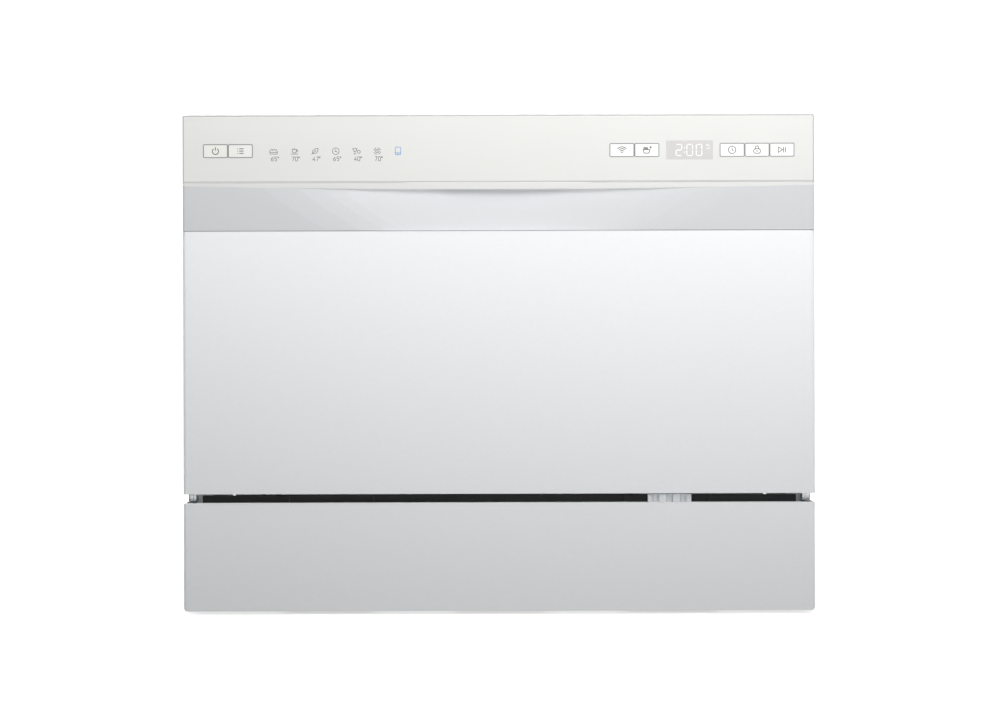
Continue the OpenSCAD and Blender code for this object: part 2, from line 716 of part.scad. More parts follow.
// Extension springs of the door's counterbalance, one on each side of the base
module hinge_springs() {
  turns = 14;
  steps = 8;
  len_y = 80;
  coil_r = 6;
  wire = 1.1;
  path = [for (i = [0 : turns * steps]) let (a = 360 * i / steps)
    [coil_r * cos(a), len_y * i / (turns * steps), coil_r * sin(a)]];
  color("#9b9da0") both_sides() translate([bracket_x - 9, wrapper_y + 22, base_z + 20]) {
    swept_wire(path, wire);
    translate([coil_r, 0.5, 0]) rotate([90, 0, 0]) cylinder(r = wire, h = 16);
    translate([coil_r, len_y - 0.5, 0]) rotate([-90, 0, 0]) cylinder(r = wire, h = 16);
  }
}

// Closed tube of n sides along a list of points, each ring square to the path
module swept_wire(path, r, n = 6, side = [0, 1, 0.01]) {
  last = len(path) - 1;
  pts = [for (i = [0 : last])
    let (d = path[min(i + 1, last)] - path[max(i - 1, 0)], t = d / norm(d),
      u = cross(t, side), v = u / norm(u), w = cross(t, v))
    for (k = [0 : n - 1]) path[i] + r * (cos(360 * k / n) * v + sin(360 * k / n) * w)];
  sides = [for (i = [0 : last - 1]) for (k = [0 : n - 1])
    let (a = i * n + k, b = i * n + (k + 1) % n) each [[a, a + n, b], [b, a + n, b + n]]];
  caps = [for (k = [1 : n - 2]) each [[0, k, k + 1], [last * n, last * n + k + 1, last * n + k]]];
  polyhedron(pts, concat(sides, caps));
}

// Strike hook on the tub's top flange that the door's pawl holds
module door_strike() {
  color("silver") difference() {
    union() {
      span([-9, tub_front - 24, latch_z - 1], [9, tub_front - tub_t, latch_z + 1]);
      span([-16, tub_front - tub_t - 1.5, latch_z - 1], [16, tub_front - tub_t, latch_z + 8]);
    }
    span([-5, tub_front - 19, latch_z - 3], [5, tub_front - 12, latch_z + 3]);
  }
}

// Gland for the supply lead in the rear wall
module cord_gland() {
  color("#1a1a1c") translate([gland_x, 0, inlet_z]) difference() {
    union() {
      translate([0, base_back + 8, 0]) rotate([90, 0, 0]) cylinder(r = 11, h = 8, $fn = 6);
      translate([0, base_back + 1, 0]) rotate([90, 0, 0]) cylinder(r = gland_r, h = 16);
    }
    translate([0, base_back + 10, 0]) rotate([90, 0, 0]) cylinder(r = 3.5, h = 30);
  }
}

// Pan-head screws of the wrapper, the rear cover and the hinge brackets
module cabinet_screws() {
  color("#8f9194") {
    both_sides() for (y = screw_side_y)
      translate([body_w / 2, y, base_z + 24]) rotate([0, -90, 0]) screw(sheet_t + 8);
    w = body_w - 2 * sheet_t - 5;
    z0 = base_rim_z + 4;
    h = z_top - 4 - z0;
    for (x = [-1, 1], f = [0.06, 0.94])
      translate([x * (w / 2 - 8), back_y, z0 + f * h]) rotate([90, 0, 0]) screw(sheet_t + 8);
  }
}

// One screw, pointing up, its head with a cross recess flush with the sheet
module screw(length) {
  difference() {
    cylinder(r = screw_r + 0.19, h = length);
    for (a = [0, 90]) rotate(a) translate([-2, -0.45, -1]) cube([4, 0.9, 1.7]);
  }
}

// Levelling foot: rubber pad on a threaded stem that turns in the base's boss
module levelling_foot(x, y) {
  color("#222224") translate([x, y, 0]) {
    cylinder(r = 15, h = base_z - 5);
    translate([0, 0, base_z - 5 - eps]) cylinder(r = 9, h = 4, $fn = 6);
    translate([0, 0, 1]) cylinder(r = stem_r, h = base_z + boss_h - 3);
  }
}
module foot_front_left() { levelling_foot(-foot_x, foot_front_y); }
module foot_front_right() { levelling_foot(foot_x, foot_front_y); }
module foot_back_left() { levelling_foot(-foot_x, foot_back_y); }
module foot_back_right() { levelling_foot(foot_x, foot_back_y); }

// Painted door skin, folded on all four sides and notched for the hinges
module door_outer_panel() {
  notch = 5.5;
  color("gainsboro") difference() {
    translate([0, front_y, z_door]) tray(body_w, panel_h - 0.4, door_t - 7, sheet_t, 3);
    both_sides() span([bracket_x - 1, front_y + sheet_t, z_door - 1],
      [bracket_x + 9, pivot_y + notch, z_door + sheet_t + 1]);
    span([-body_w / 2 + 40, front_y + 14, z_grip - 3], [body_w / 2 - 40, front_y + door_t, z_grip + 1]);
  }
}

// Stainless door liner: flat rim, dished centre, folded edges, openings for dispenser and latch
module door_liner() {
  rim_w = body_w - 7;
  low = z_door + 2;
  rim_h = z_top - 3.5 - low;
  y = door_back_y;
  color("silver") difference() {
    union() {
      difference() {
        translate([0, 0, low + rim_h / 2]) slab_y(rim_w, rim_h, 4, y - 6.5, y);
        translate([0, 0, low + rim_h / 2]) slab_y(rim_w - 2, rim_h - 2, 3, y - 7, y - 1);
      }
      translate([0, 0, dish_z]) slab_y(dish_w, dish_h, 22, y - dish_depth - 1, y - 0.5);
    }
    translate([0, 0, dish_z]) slab_y(dish_w - 2, dish_h - 2, 21, y - dish_depth, y + 1);
    translate([disp_x, 0, disp_z]) slab_y(disp_w - 6, disp_h - 6, 6, y - dish_depth - 2, y);
    span([-12, y - dish_depth - 2, latch_z - 5], [12, y + 1, latch_z + 5]);
  }
}

// Moulded fascia: chamfered front, windows for buttons and display, and the dipped lower lip
module control_fascia() {
  wall = moulding_t;
  bevel = 1.2;
  d = door_t - 2;
  dip_r = 641;
  color("whitesmoke") difference() {
    union() {
      translate([0, front_y, z_fascia]) difference() {
        intersection() {
          rotate([90, 0, 90]) linear_extrude(body_w, center = true)
            polygon([[bevel, 0], [0, bevel * 2], [0, fascia_h - bevel], [bevel, fascia_h],
              [d, fascia_h], [d, 0]]);
          linear_extrude(fascia_h) polygon([[-body_w / 2 + bevel, 0], [body_w / 2 - bevel, 0],
            [body_w / 2, bevel], [body_w / 2, d], [-body_w / 2, d], [-body_w / 2, bevel]]);
        }
        span([-body_w / 2 + wall, wall, wall], [body_w / 2 - wall, d + 1, fascia_h - wall]);
        span([-pocket_w / 2 - 3, wall + 0.5, -1], [pocket_w / 2 + 3, 29, wall + 1]);
        span([-body_w / 2 + wall, 28, -1], [body_w / 2 - wall, d + 1, wall + 1]);
      }
      intersection() {
        translate([0, front_y + wall + 0.6, z_fascia - lip_dip + dip_r]) rotate([90, 0, 0])
          cylinder(r = dip_r, h = wall, $fn = 360);
        span([-90, front_y, z_fascia - lip_dip - 1], [90, front_y + wall + 1, z_fascia + 3]);
      }
      for (x = boss_xs) translate([x, front_y + wall - eps, pocket_top + 8]) rotate([-90, 0, 0])
        cylinder(r = 3, h = board_y - front_y - wall);
      for (x = boss_xs) translate([x, front_y + wall - eps, z_top - 8]) rotate([-90, 0, 0])
        cylinder(r = 3, h = board_y - front_y - wall);
    }
    for (x = button_xs) translate([x, 0, button_z])
      slab_y(button_w + 0.5, button_h + 0.5, 1, front_y - 1, front_y + wall + 1);
    translate([display_x, 0, button_z])
      slab_y(display_w, display_h, 0.8, front_y - 1, front_y + wall + 1);
  }
}

// Silver grip: a band with a soft-edged scoop, and the finger pocket that stands on it
module handle_grip() {
  wall = moulding_t;
  back = front_y + grip_d;
  rim = z_fascia - 0.4;
  pocket_y = front_y + moulding_t + 1;
  inner_w = pocket_w - 2 * wall;
  color("lightgray") {
    difference() {
      union() {
        translate([0, front_y, z_grip]) plan_block(body_w, grip_h - 0.4, grip_d, 2);
        both_sides() span([body_w / 2 - wall, back - 1, z_grip],
          [body_w / 2, front_y + door_t - 7, rim]);
      }
      intersection() {
        scoop(0);
        span([-body_w, front_y - 9, z_grip - 1], [body_w, back, rim + 1]);
      }
      difference() {
        span([-body_w / 2 + wall, front_y + wall, z_grip + wall],
          [body_w / 2 - wall, back + 20, rim - wall]);
        scoop(wall);
        span([-pocket_w / 2, front_y, z_grip], [pocket_w / 2, back, z_fascia]);
      }
    }
    difference() {
      span([-pocket_w / 2, pocket_y, rim + 0.05], [pocket_w / 2, back - 2, pocket_top]);
      intersection() {
        scoop(0);
        span([-inner_w / 2, pocket_y + 2, rim - 1], [inner_w / 2, back, pocket_top - wall]);
      }
    }
  }
}

// Scoop of the grip: tilted cylinders, the wider ones shallower, which soften its edge in steps
module scoop(more) {
  for (k = [[1, 0], [1.48, 10], [2.45, 22], [5.8, 38]]) {
    r = scoop_r * k[0];
    low = pow(sqrt(2 * scoop_r * scoop_low) + k[1], 2) / (2 * r);
    high = pow(sqrt(2 * scoop_r * scoop_high) + k[1], 2) / (2 * r);
    translate([0, front_y + (low + high) / 2, z_grip + grip_h / 2])
      rotate([-atan((high - low) / grip_h), 0, 0]) translate([0, -r, 0])
      cylinder(r = r + more, h = grip_h + 70, center = true, $fn = 360);
  }
}

// Grey display lens, flush in its window
module display_window() {
  color("#d4d2d0") translate([display_x, 0, button_z]) {
    slab_y(display_w - 0.2, display_h - 0.2, 0.7, front_y, front_y + moulding_t + 0.5);
    slab_y(display_w + 4, display_h + 4, 1, front_y + moulding_t + 0.2, front_y + moulding_t + 1.5);
  }
}

// Control board with a switch behind each button, on the fascia's bosses
module control_board() {
  color("#2f6b45") {
    difference() {
      translate([0, 0, (pocket_top + 2 + z_top - 4) / 2])
        slab_y(body_w - 24, z_top - pocket_top - 6, 2, board_y, board_y + 1.6);
      span([-33, board_y - 1, latch_z - 13], [33, board_y + 3, z_top]);
    }
    for (x = button_xs) span([x - 3, board_y - 3, button_z - 3], [x + 3, board_y + 0.1, button_z + 3]);
    span([display_x - 18, board_y - 7, button_z - 7], [display_x + 18, board_y + 0.1, button_z + 7]);
    span([60, board_y + 1.5, pocket_top + 8], [96, board_y + 8, pocket_top + 28]);
  }
}

// Push button: cap in its window, flange behind the wall and stem to its switch
module push_button(x) {
  t = moulding_t + 1.2;
  color("ivory") translate([x, 0, button_z]) {
    slab_y(button_w, button_h, 0.8, front_y, front_y + t);
    slab_y(button_w - 2, button_h + 4, 1, front_y + moulding_t + 0.4, front_y + t);
    translate([0, board_y - 3 - button_travel - 0.2, 0]) rotate([90, 0, 0])
      cylinder(r = 2, h = board_y - 3 - button_travel - 0.2 - (front_y + t) + eps);
  }
}
module button_power() { push_button(button_xs[0]); }
module button_program() { push_button(button_xs[1]); }
module button_wifi() { push_button(button_xs[2]); }
module button_extra() { push_button(button_xs[3]); }
module button_delay() { push_button(button_xs[4]); }
module button_lock() { push_button(button_xs[5]); }
module button_start() { push_button(button_xs[6]); }

// Detergent dispenser in the liner, with a powder chamber and a filler hole for rinse aid
module dispenser_body() {
  y = door_back_y - dish_depth;
  color("#3c3f44") difference() {
    union() {
      translate([disp_x, 0, disp_z]) slab_y(disp_w, disp_h, 9, y + eps, y + 5);
      translate([disp_x, 0, disp_z]) slab_y(disp_w - 7, disp_h - 7, 6, y - 11, y + 1);
      for (s = [-1, 1]) translate([disp_x - 4, 0, disp_z - 2 + s * 27])
        slab_y(72, 3, 1, y + 4, y + 8);
    }
    translate([disp_x - 20, 0, disp_z - 2]) slab_y(36, 40, 8, y - 9, y + 6);
    translate([cap_x, y + 6, disp_z + 0]) rotate([90, 0, 0]) cylinder(r = cap_r + run_gap, h = 13);
  }
}

// Sliding lid over the powder chamber, guided by two ribs
module dispenser_lid() {
  y = door_back_y - dish_depth + 5 + cover_gap;
  color("#e9eaec") translate([disp_x - 20, 0, disp_z - 2]) difference() {
    union() {
      slab_y(42, 50, 5, y, y + 2);
      slab_y(4, 30, 1, y + 1, y + 4.5);
    }
    for (x = [-15, -11, 11, 15]) translate([x, 0, 0]) slab_y(1.2, 34, 0.5, y + 1.4, y + 3);
  }
}

// Rinse-aid cap with an arrow-shaped grip, a quarter turn to open
module rinse_cap() {
  y = door_back_y - dish_depth;
  color("#a9c4dd") translate([cap_x, 0, disp_z]) difference() {
    union() {
      translate([0, y + 3.5, 0]) rotate([90, 0, 0]) cylinder(r = cap_r, h = 7);
      translate([0, y + 6.4, 0]) rotate([90, 0, 0]) cylinder(r = cap_r - 1.5, h = 3.2);
      translate([-cap_r + 3, y + 5, -2]) cube([2 * cap_r - 6, 4.2, 4]);
    }
    translate([0, y - 1, 0]) rotate([90, 0, 0]) cylinder(r = cap_r - 2.5, h = 4);
  }
}

// Latch housing behind the liner's slot, with the pivot of the pawl
module door_latch() {
  y = door_back_y;
  color("#2b2c2f") {
    difference() {
      translate([0, 0, latch_z + 1.2]) slab_y(60, 19.5, 2, y - 34, y - 1);
      span([-14, y - 31, latch_z - 5.5], [14, y + 1, latch_z + 9]);
    }
    translate([0, pawl_y, pawl_z]) rotate([0, 90, 0]) cylinder(r = 1.5, h = 36, center = true);
  }
}

// Sprung pawl whose nose stands just clear of the strike
module latch_pawl() {
  w = 8;
  color("#d9dadc") difference() {
    union() {
      translate([0, pawl_y, pawl_z]) rotate([0, 90, 0]) cylinder(r = 3.2, h = w, center = true);
      span([-w / 2, pawl_y, pawl_z - 1.2], [w / 2, tub_front - 13.5, pawl_z + 2.2]);
      translate([-w / 2, 0, 0]) rotate([90, 0, 90]) linear_extrude(w)
        polygon([[tub_front - 18, pawl_z], [tub_front - 13.5, pawl_z], [tub_front - 15, latch_z + 1.4],
          [tub_front - 17, latch_z + 1.4]]);
    }
    translate([0, pawl_y, pawl_z]) rotate([0, 90, 0]) cylinder(r = 1.5 + run_gap, h = w + 2, center = true);
  }
}

// Steel arms in the door's lower corners that turn on the hinge pins
module hinge_arms() {
  x0 = bracket_x + bracket_t + 0.4;
  color("#8d9093") both_sides() difference() {
    union() {
      translate([x0, pivot_y, pivot_z]) rotate([0, 90, 0]) cylinder(r = 4.5, h = arm_t);
      span([x0, pivot_y - 4.5, pivot_z], [x0 + arm_t, pivot_y + 4.5, z_door + 60]);
      span([x0, pivot_y + 3, z_door + 8], [x0 + arm_t, door_back_y - 1, z_door + 60]);
      span([x0 - 14, door_back_y - 3, z_door + 8], [x0 + arm_t, door_back_y - 1, z_door + 60]);
    }
    translate([x0 - 1, pivot_y, pivot_z]) rotate([0, 90, 0])
      cylinder(r = hinge_pin_r + run_gap, h = arm_t + 2);
    translate([x0 - 1, pivot_y + 16, z_door + 34]) rotate([0, 90, 0]) cylinder(r = 7, h = arm_t + 2);
  }
}

// Quarter bend of a round wire, from -X to -Y about its centre
module bend(bend_r, r) {
  rotate(180) rotate_extrude(angle = 90, $fn = 64) translate([bend_r, 0]) circle(r = r, $fn = 24);
}

// U-shaped wire in the XZ plane, floor on z = 0
module u_wire(w, h, bend_r, r) {
  both_sides() {
    rotate([90, 0, 0]) translate([-w / 2 + bend_r, bend_r, 0]) bend(bend_r, r);
    translate([-w / 2, 0, bend_r]) cylinder(r = r, h = h - bend_r);
  }
  translate([-w / 2 + bend_r, 0, 0]) rotate([0, 90, 0]) cylinder(r = r, h = w - 2 * bend_r);
}

// Closed wire loop with rounded corners in the XY plane
module wire_loop(w, d, bend_r, r) {
  for (k = [0, 1]) mirror([k, 0, 0]) for (m = [0, 1]) mirror([0, m, 0]) {
    translate([-w / 2 + bend_r, -d / 2 + bend_r, 0]) bend(bend_r, r);
  }
  for (s = [-1, 1]) {
    translate([-w / 2 + bend_r, s * d / 2, 0]) rotate([0, 90, 0]) cylinder(r = r, h = w - 2 * bend_r);
    translate([s * w / 2, -d / 2 + bend_r, 0]) rotate([-90, 0, 0]) cylinder(r = r, h = d - 2 * bend_r);
  }
}

// Wires across the rack, bent up at both sides, with fixed tines on two of them
module rack_cross_wires() {
  color("#8b9096") for (i = [0 : cross_count - 1]) translate([0, cross_y0 + i * cross_pitch, floor_z]) {
    u_wire(rack_w, rack_h, 14, wire_d / 2);
  }
}

// Wires along the rack with the rims, the roller axles and the carriers of the hinged parts
module rack_long_wires() {
  loop_w = rack_w + 2 * weld_step;
  loop_d = rack_d + 2 * (wire_d + run_gap);
  color("#8b9096") {
    for (i = [0 : long_count - 1])
      translate([(i - (long_count - 1) / 2) * long_pitch, rack_y, floor_z + weld_step]) rotate(90)
        u_wire(rack_d, rack_h - weld_step, 14, wire_d / 2);
    for (z = [rim_z, axle_z, floor_z + 60]) translate([0, rack_y, z])
      wire_loop(loop_w, loop_d, 16, wire_d / 2);
    both_sides() for (y = [roller_front_y, roller_back_y]) translate([loop_w / 2 - 1.5, y, axle_z])
      rotate([0, 90, 0]) cylinder(r = axle_r, h = axle_end_x - loop_w / 2 + 1.5);
    translate([shelf_x, cross_y0 + 0.5 * cross_pitch, shelf_z]) rotate([-90, 0, 0])
      cylinder(r = wire_d / 2, h = 6 * cross_pitch);
    for (i = [2, 4]) for (f = [-3.75 : 0.5 : i == 2 ? 2 : 3.8])
      translate([f * long_pitch, cross_y0 + i * cross_pitch, floor_z + 0.3 * wire_d])
      cylinder(r = tine_d / 2, h = 70 - 0.3 * wire_d);
    for (x = [-1, 1]) translate([x * long_pitch * 2.5, fold_y, 0]) difference() {
      span([-4, -4, floor_z + weld_step], [4, 4, fold_z + 4]);
      translate([0, 0, fold_z]) rotate([0, 90, 0]) cylinder(r = tine_d / 2 + run_gap, h = 10, center = true);
    }
  }
}

// Folding row of tines on a rod held by two clips
module rack_tines() {
  half = long_pitch * 2.5 + 10;
  color("#5f7f9f") {
    translate([-half, fold_y, fold_z]) rotate([0, 90, 0]) cylinder(r = tine_d / 2, h = 2 * half);
    for (f = [-2.25 : 0.5 : 2.25]) translate([f * long_pitch, fold_y, fold_z])
      cylinder(r = tine_d / 2, h = 68);
  }
}

// Hinged cup shelf on the left side of the rack
module cup_shelf() {
  clip_w = 12;
  color("#8b9096") difference() {
    union() {
      for (y = shelf_clip_y) translate([shelf_x, y, shelf_z]) {
        translate([0, -clip_w / 2, 0]) rotate([-90, 0, 0]) cylinder(r = wire_d / 2 + 1.6, h = clip_w);
        rotate([0, 90, 0]) cylinder(r = tine_d / 2, h = shelf_reach);
      }
      for (x = [26, 50, 74, shelf_reach])
        translate([shelf_x + x, shelf_clip_y[0] - 12, shelf_z - tine_d + 0.4]) rotate([-90, 0, 0])
          cylinder(r = tine_d / 2, h = shelf_clip_y[2] - shelf_clip_y[0] + 24);
    }
    for (y = shelf_clip_y) translate([shelf_x, y - clip_w, shelf_z]) rotate([-90, 0, 0])
      cylinder(r = wire_d / 2 + run_gap, h = 2 * clip_w);
  }
}

// Slotted cutlery basket with a divider and an arched handle
module cutlery_basket() {
  z0 = floor_z + weld_step + wire_d / 2 + cover_gap;
  size = [86, 118, 100];
  wall = 1.8;
  x0 = rack_w / 2 - 24 - size[0];
  y0 = rack_y - rack_d / 2 + 13;
  color("#6d7176") translate([x0, y0, z0]) difference() {
    union() {
      difference() {
        translate([size[0] / 2, size[1] / 2, 0]) linear_extrude(size[2]) round_rect(size[0], size[1], 6);
        translate([size[0] / 2, size[1] / 2, wall]) linear_extrude(size[2])
          round_rect(size[0] - 2 * wall, size[1] - 2 * wall, 6 - wall);
      }
      span([size[0] / 2 - 1, wall / 2, 1], [size[0] / 2 + 1, size[1] - wall / 2, size[2] + 18]);
    }
    span([size[0] / 2 - 4, 24, size[2] - 4], [size[0] / 2 + 4, size[1] - 24, size[2] + 10]);
    for (i = [0 : 7], z = [14, 56]) span([-1, 10 + i * 13, z], [size[0] + 1, 16 + i * 13, z + 32]);
    for (i = [0 : 4], z = [14, 56]) {
      span([8 + i * 15, -1, z], [14 + i * 15, size[1] + 1, z + 32]);
    }
    for (i = [0 : 4], j = [0 : 6]) span([8 + i * 15, 10 + j * 15, -1], [14 + i * 15, 18 + j * 15, 5]);
  }
}

// Grooved roller on a rack axle
module roller(y) {
  color("whitesmoke") translate([roller_x0, y, axle_z]) rotate([0, 90, 0]) difference() {
    cylinder(r = roller_r, h = roller_w);
    translate([0, 0, -1]) cylinder(r = axle_r + run_gap, h = roller_w + 2);
    translate([0, 0, -1]) difference() {
      cylinder(r = roller_r - 2, h = 2.5);
      cylinder(r = axle_r + 2, h = 4);
    }
  }
}
module roller_front_left() { mirror([1, 0, 0]) roller(roller_front_y); }
module roller_front_right() { roller(roller_front_y); }
module roller_back_left() { mirror([1, 0, 0]) roller(roller_back_y); }
module roller_back_right() { roller(roller_back_y); }

cabinet_wrapper();
rear_cover();
base_pan();
kick_plate();
harness_guide();
tub();
door_seal();
rack_rails();
sump();
flat_filter();
filter_cup();
spray_arm();
wash_pump();
drain_pump();
flow_heater();
water_softener();
salt_cap();
air_break();
inlet_valve();
drain_outlet();
inner_hoses();
float();
float_switch();
hinge_brackets();
hinge_springs();
door_strike();
cord_gland();
cabinet_screws();
foot_front_left();
foot_front_right();
foot_back_left();
foot_back_right();
door_outer_panel();
door_liner();
control_fascia();
handle_grip();
display_window();
control_board();
dispenser_body();
dispenser_lid();
rinse_cap();
door_latch();
latch_pawl();
hinge_arms();
button_power();
button_program();
button_wifi();
button_extra();
button_delay();
button_lock();
button_start();
rack_cross_wires();
rack_long_wires();
rack_tines();
cup_shelf();
cutlery_basket();
roller_front_left();
roller_front_right();
roller_back_left();
roller_back_right();
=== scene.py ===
# %% [markdown]
# # A countertop dishwasher, dressed for its photograph
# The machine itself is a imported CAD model: sheet metal, mouldings, rack and machinery in
# their real sizes. This lesson gives every surface the finish of the real thing, prints the
# marks on the control panel, and adds the small parts that are easier to make as meshes.
# Everything is in metres and in the CAD frame: front faces -Y, the worktop is z = 0.

# %% Load the frame
import json
import math

import bmesh
import bpy
from mathutils import Matrix, Vector


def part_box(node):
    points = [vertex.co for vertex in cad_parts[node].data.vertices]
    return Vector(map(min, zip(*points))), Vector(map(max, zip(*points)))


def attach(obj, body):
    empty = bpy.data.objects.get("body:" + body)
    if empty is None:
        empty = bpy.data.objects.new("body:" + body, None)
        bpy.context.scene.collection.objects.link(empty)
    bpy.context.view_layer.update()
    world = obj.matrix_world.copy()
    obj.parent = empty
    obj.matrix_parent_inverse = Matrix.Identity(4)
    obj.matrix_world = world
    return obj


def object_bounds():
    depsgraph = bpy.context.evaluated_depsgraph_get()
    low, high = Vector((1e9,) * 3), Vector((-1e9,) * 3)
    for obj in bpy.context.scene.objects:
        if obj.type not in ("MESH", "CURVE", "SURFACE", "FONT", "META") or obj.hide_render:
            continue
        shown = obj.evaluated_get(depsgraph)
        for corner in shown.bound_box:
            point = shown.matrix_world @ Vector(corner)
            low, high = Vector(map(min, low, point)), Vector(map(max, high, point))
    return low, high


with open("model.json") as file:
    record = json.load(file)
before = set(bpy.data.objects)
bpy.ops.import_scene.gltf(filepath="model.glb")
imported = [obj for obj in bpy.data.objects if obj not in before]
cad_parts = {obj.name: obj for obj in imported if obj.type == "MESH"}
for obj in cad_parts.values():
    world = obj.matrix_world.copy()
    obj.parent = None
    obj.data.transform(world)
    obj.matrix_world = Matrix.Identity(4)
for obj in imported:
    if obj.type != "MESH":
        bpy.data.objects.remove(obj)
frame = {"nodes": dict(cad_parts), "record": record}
cad_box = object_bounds()
print("size mm", [round((b - a) * 1000, 1) for a, b in zip(*cad_box)])

# %% [markdown]
# ## Units and colours
# Drawings are in millimetres and Blender is in metres, so one small function converts.
# Paint and plastic colours are written as the sRGB hex values of a colour card. Shaders
# work in linear light, so one function turns the hex value into linear numbers.

# %% Helpers for sizes and colours
def mm(*values):
    """Millimetres to metres: one number, or a vector for three."""
    return values[0] / 1000 if len(values) == 1 else Vector([v / 1000 for v in values])


def linear(hex_colour):
    """sRGB hex value to linear red, green, blue and alpha."""
    parts = [int(hex_colour[i:i + 2], 16) / 255 for i in (1, 3, 5)]
    return [p / 12.92 if p <= 0.04045 else ((p + 0.055) / 1.055) ** 2.4 for p in parts] + [1.0]


def per_mm(size):
    """Texture scale that gives one feature in each stretch of so many millimetres."""
    return 1000 / size


print("light grey is", [round(v, 3) for v in linear("#D9DBDD")])

# %% [markdown]
# ## One function for shader nodes
# Every material below is a small graph. A single function adds a node, sets what it is told
# and links what feeds it, so that each material reads as a list of its ingredients.
# A second one starts a material: it gives back the graph, the main shader and coordinates
# that are the part's own millimetres, so patterns keep their real size and move with it.

# %% Helpers for materials
def add(tree, kind, settings=None, links=None):
    """Adds one shader node with its settings and the links into it."""
    node = tree.nodes.new("ShaderNode" + kind)
    for key, value in (settings or {}).items():
        if isinstance(key, str) and hasattr(node, key):
            setattr(node, key, value)
        else:
            node.inputs[key].default_value = value
    for key, source in (links or {}).items():
        tree.links.new(source, node.inputs[key])
    return node


def start_material(name, hex_colour, **sockets):
    """A new material: its graph, its main shader and the coordinates of the part."""
    material = bpy.data.materials.new(name)
    material.use_nodes = True
    material.diffuse_color = linear(hex_colour)
    tree = material.node_tree
    shader = tree.nodes["Principled BSDF"]
    shader.inputs["Base Color"].default_value = linear(hex_colour)
    for socket, value in sockets.items():
        shader.inputs[socket.replace("_", " ")].default_value = value
    place = add(tree, "TexCoord").outputs["Object"]
    return material, tree, shader, place


def stretch(tree, place, x, y, z):
    """Coordinates squeezed along each axis, for grain that runs one way."""
    return add(tree, "Mapping", {"Scale": (x, y, z)}, {"Vector": place}).outputs[0]


def vary(tree, shader, factor, low, high):
    """Base colour that drifts between two hex values with a texture."""
    mixed = add(tree, "Mix", {"data_type": "RGBA", 6: linear(low), 7: linear(high)}, {0: factor})
    tree.links.new(mixed.outputs[2], shader.inputs["Base Color"])


def between(tree, shader, socket, factor, low, high):
    """A number on the shader that drifts between two values with a texture."""
    ranged = add(tree, "MapRange", {"To Min": low, "To Max": high}, {"Value": factor})
    tree.links.new(ranged.outputs[0], shader.inputs[socket])


def emboss(tree, shader, height, depth_mm, strength=0.5):
    """Bump of a real depth from a texture."""
    bump = add(tree, "Bump", {"Strength": strength, "Distance": mm(depth_mm)}, {"Height": height})
    tree.links.new(bump.outputs[0], shader.inputs["Normal"])


finishes = {}
print("materials start from", "Principled BSDF")

# %% [markdown]
# ## The camera
# The photograph is a catalogue front view: the verticals stay parallel, so the lens is long
# and far away. 550 mm of fascia fill 630 of 1000 pixels. A 113 mm lens on a 36 mm sensor does
# that from 2.73 m. The rows of the machine slope by 1.5 pixels from end to end, so the camera
# is rolled by 0.15 degrees. It looks straight ahead, at half the machine's height.

# %% Camera
lens, sensor, distance = 113.0, 36.0, 2.732
look_at = Vector((0.0009, -0.25, 0.2240))
roll = math.radians(0.15)
picture_width = 1000
camera_data = bpy.data.cameras.new("front_camera")
camera_data.lens, camera_data.sensor_width = lens, sensor
camera = bpy.data.objects.new("front_camera", camera_data)
bpy.context.collection.objects.link(camera)
camera.matrix_world = (Matrix.Translation(look_at - Vector((0, distance, 0)))
                       @ Matrix.Rotation(roll, 4, "Y") @ Matrix.Rotation(math.pi / 2, 4, "X"))
bpy.context.scene.camera = camera
print("pixels per mm at the front", round(picture_width * mm(lens / sensor / distance), 4))

# %% [markdown]
# ## Paper under and round the machine
# The machine stands on white paper that bends up into a wall, so no horizon shows. One sheet
# could do both jobs, to be seen and to reflect, but paper that shines on the machine from all
# sides takes the shade off its lower half. So there are two. The reflector runs behind the
# machine and shows only in glossy parts. The surround is a bowl 20 m wide on each side, seen
# by the camera alone and from every angle. It glows a little, more with distance, so that the
# background is white and a faint shadow still shows at the feet.

# %% Paper that bends up into a backdrop
def paper_sheet(name, mesh_rows):
    """A smooth sheet from rows of points, where each row joins the next."""
    bm = bmesh.new()
    rows = [[bm.verts.new(point) for point in row] for row in mesh_rows]
    for low, high in zip(rows, rows[1:]):
        for k in range(len(low) - 1):
            bm.faces.new((low[k], low[k + 1], high[k + 1], high[k]))
    mesh = bpy.data.meshes.new(name)
    bm.to_mesh(mesh)
    for face in mesh.polygons:
        face.use_smooth = True
    sheet = bpy.data.objects.new(name, mesh)
    bpy.context.collection.objects.link(sheet)
    return sheet


def bend(start, radius):
    """Points of the quarter circle between a floor and a wall."""
    return [(start + radius * math.sin(a), radius - radius * math.cos(a))
            for a in [math.radians(d) for d in range(9, 91, 9)]]


side_line = [(-6.0, 0.0), (1.6, 0.0)] + bend(1.6, 1.2) + [(2.8, 5.0)]
reflector = paper_sheet("studio_floor", [
    [(x, y, z - mm(2)) for x in (-7.0, 7.0)] for y, z in side_line])
round_line = [(0.001, 0.0), (0.6, 0.0), (1.8, 0.0), (16.0, 0.0)] + bend(16.0, 4.0) + [(20.0, 30.0)]
surround = paper_sheet("studio_surround", [
    [(r * math.cos(math.radians(d)), r * math.sin(math.radians(d)), z)
     for d in range(0, 361, 5)] for r, z in round_line])
print("paper faces", len(reflector.data.polygons), "and", len(surround.data.polygons))

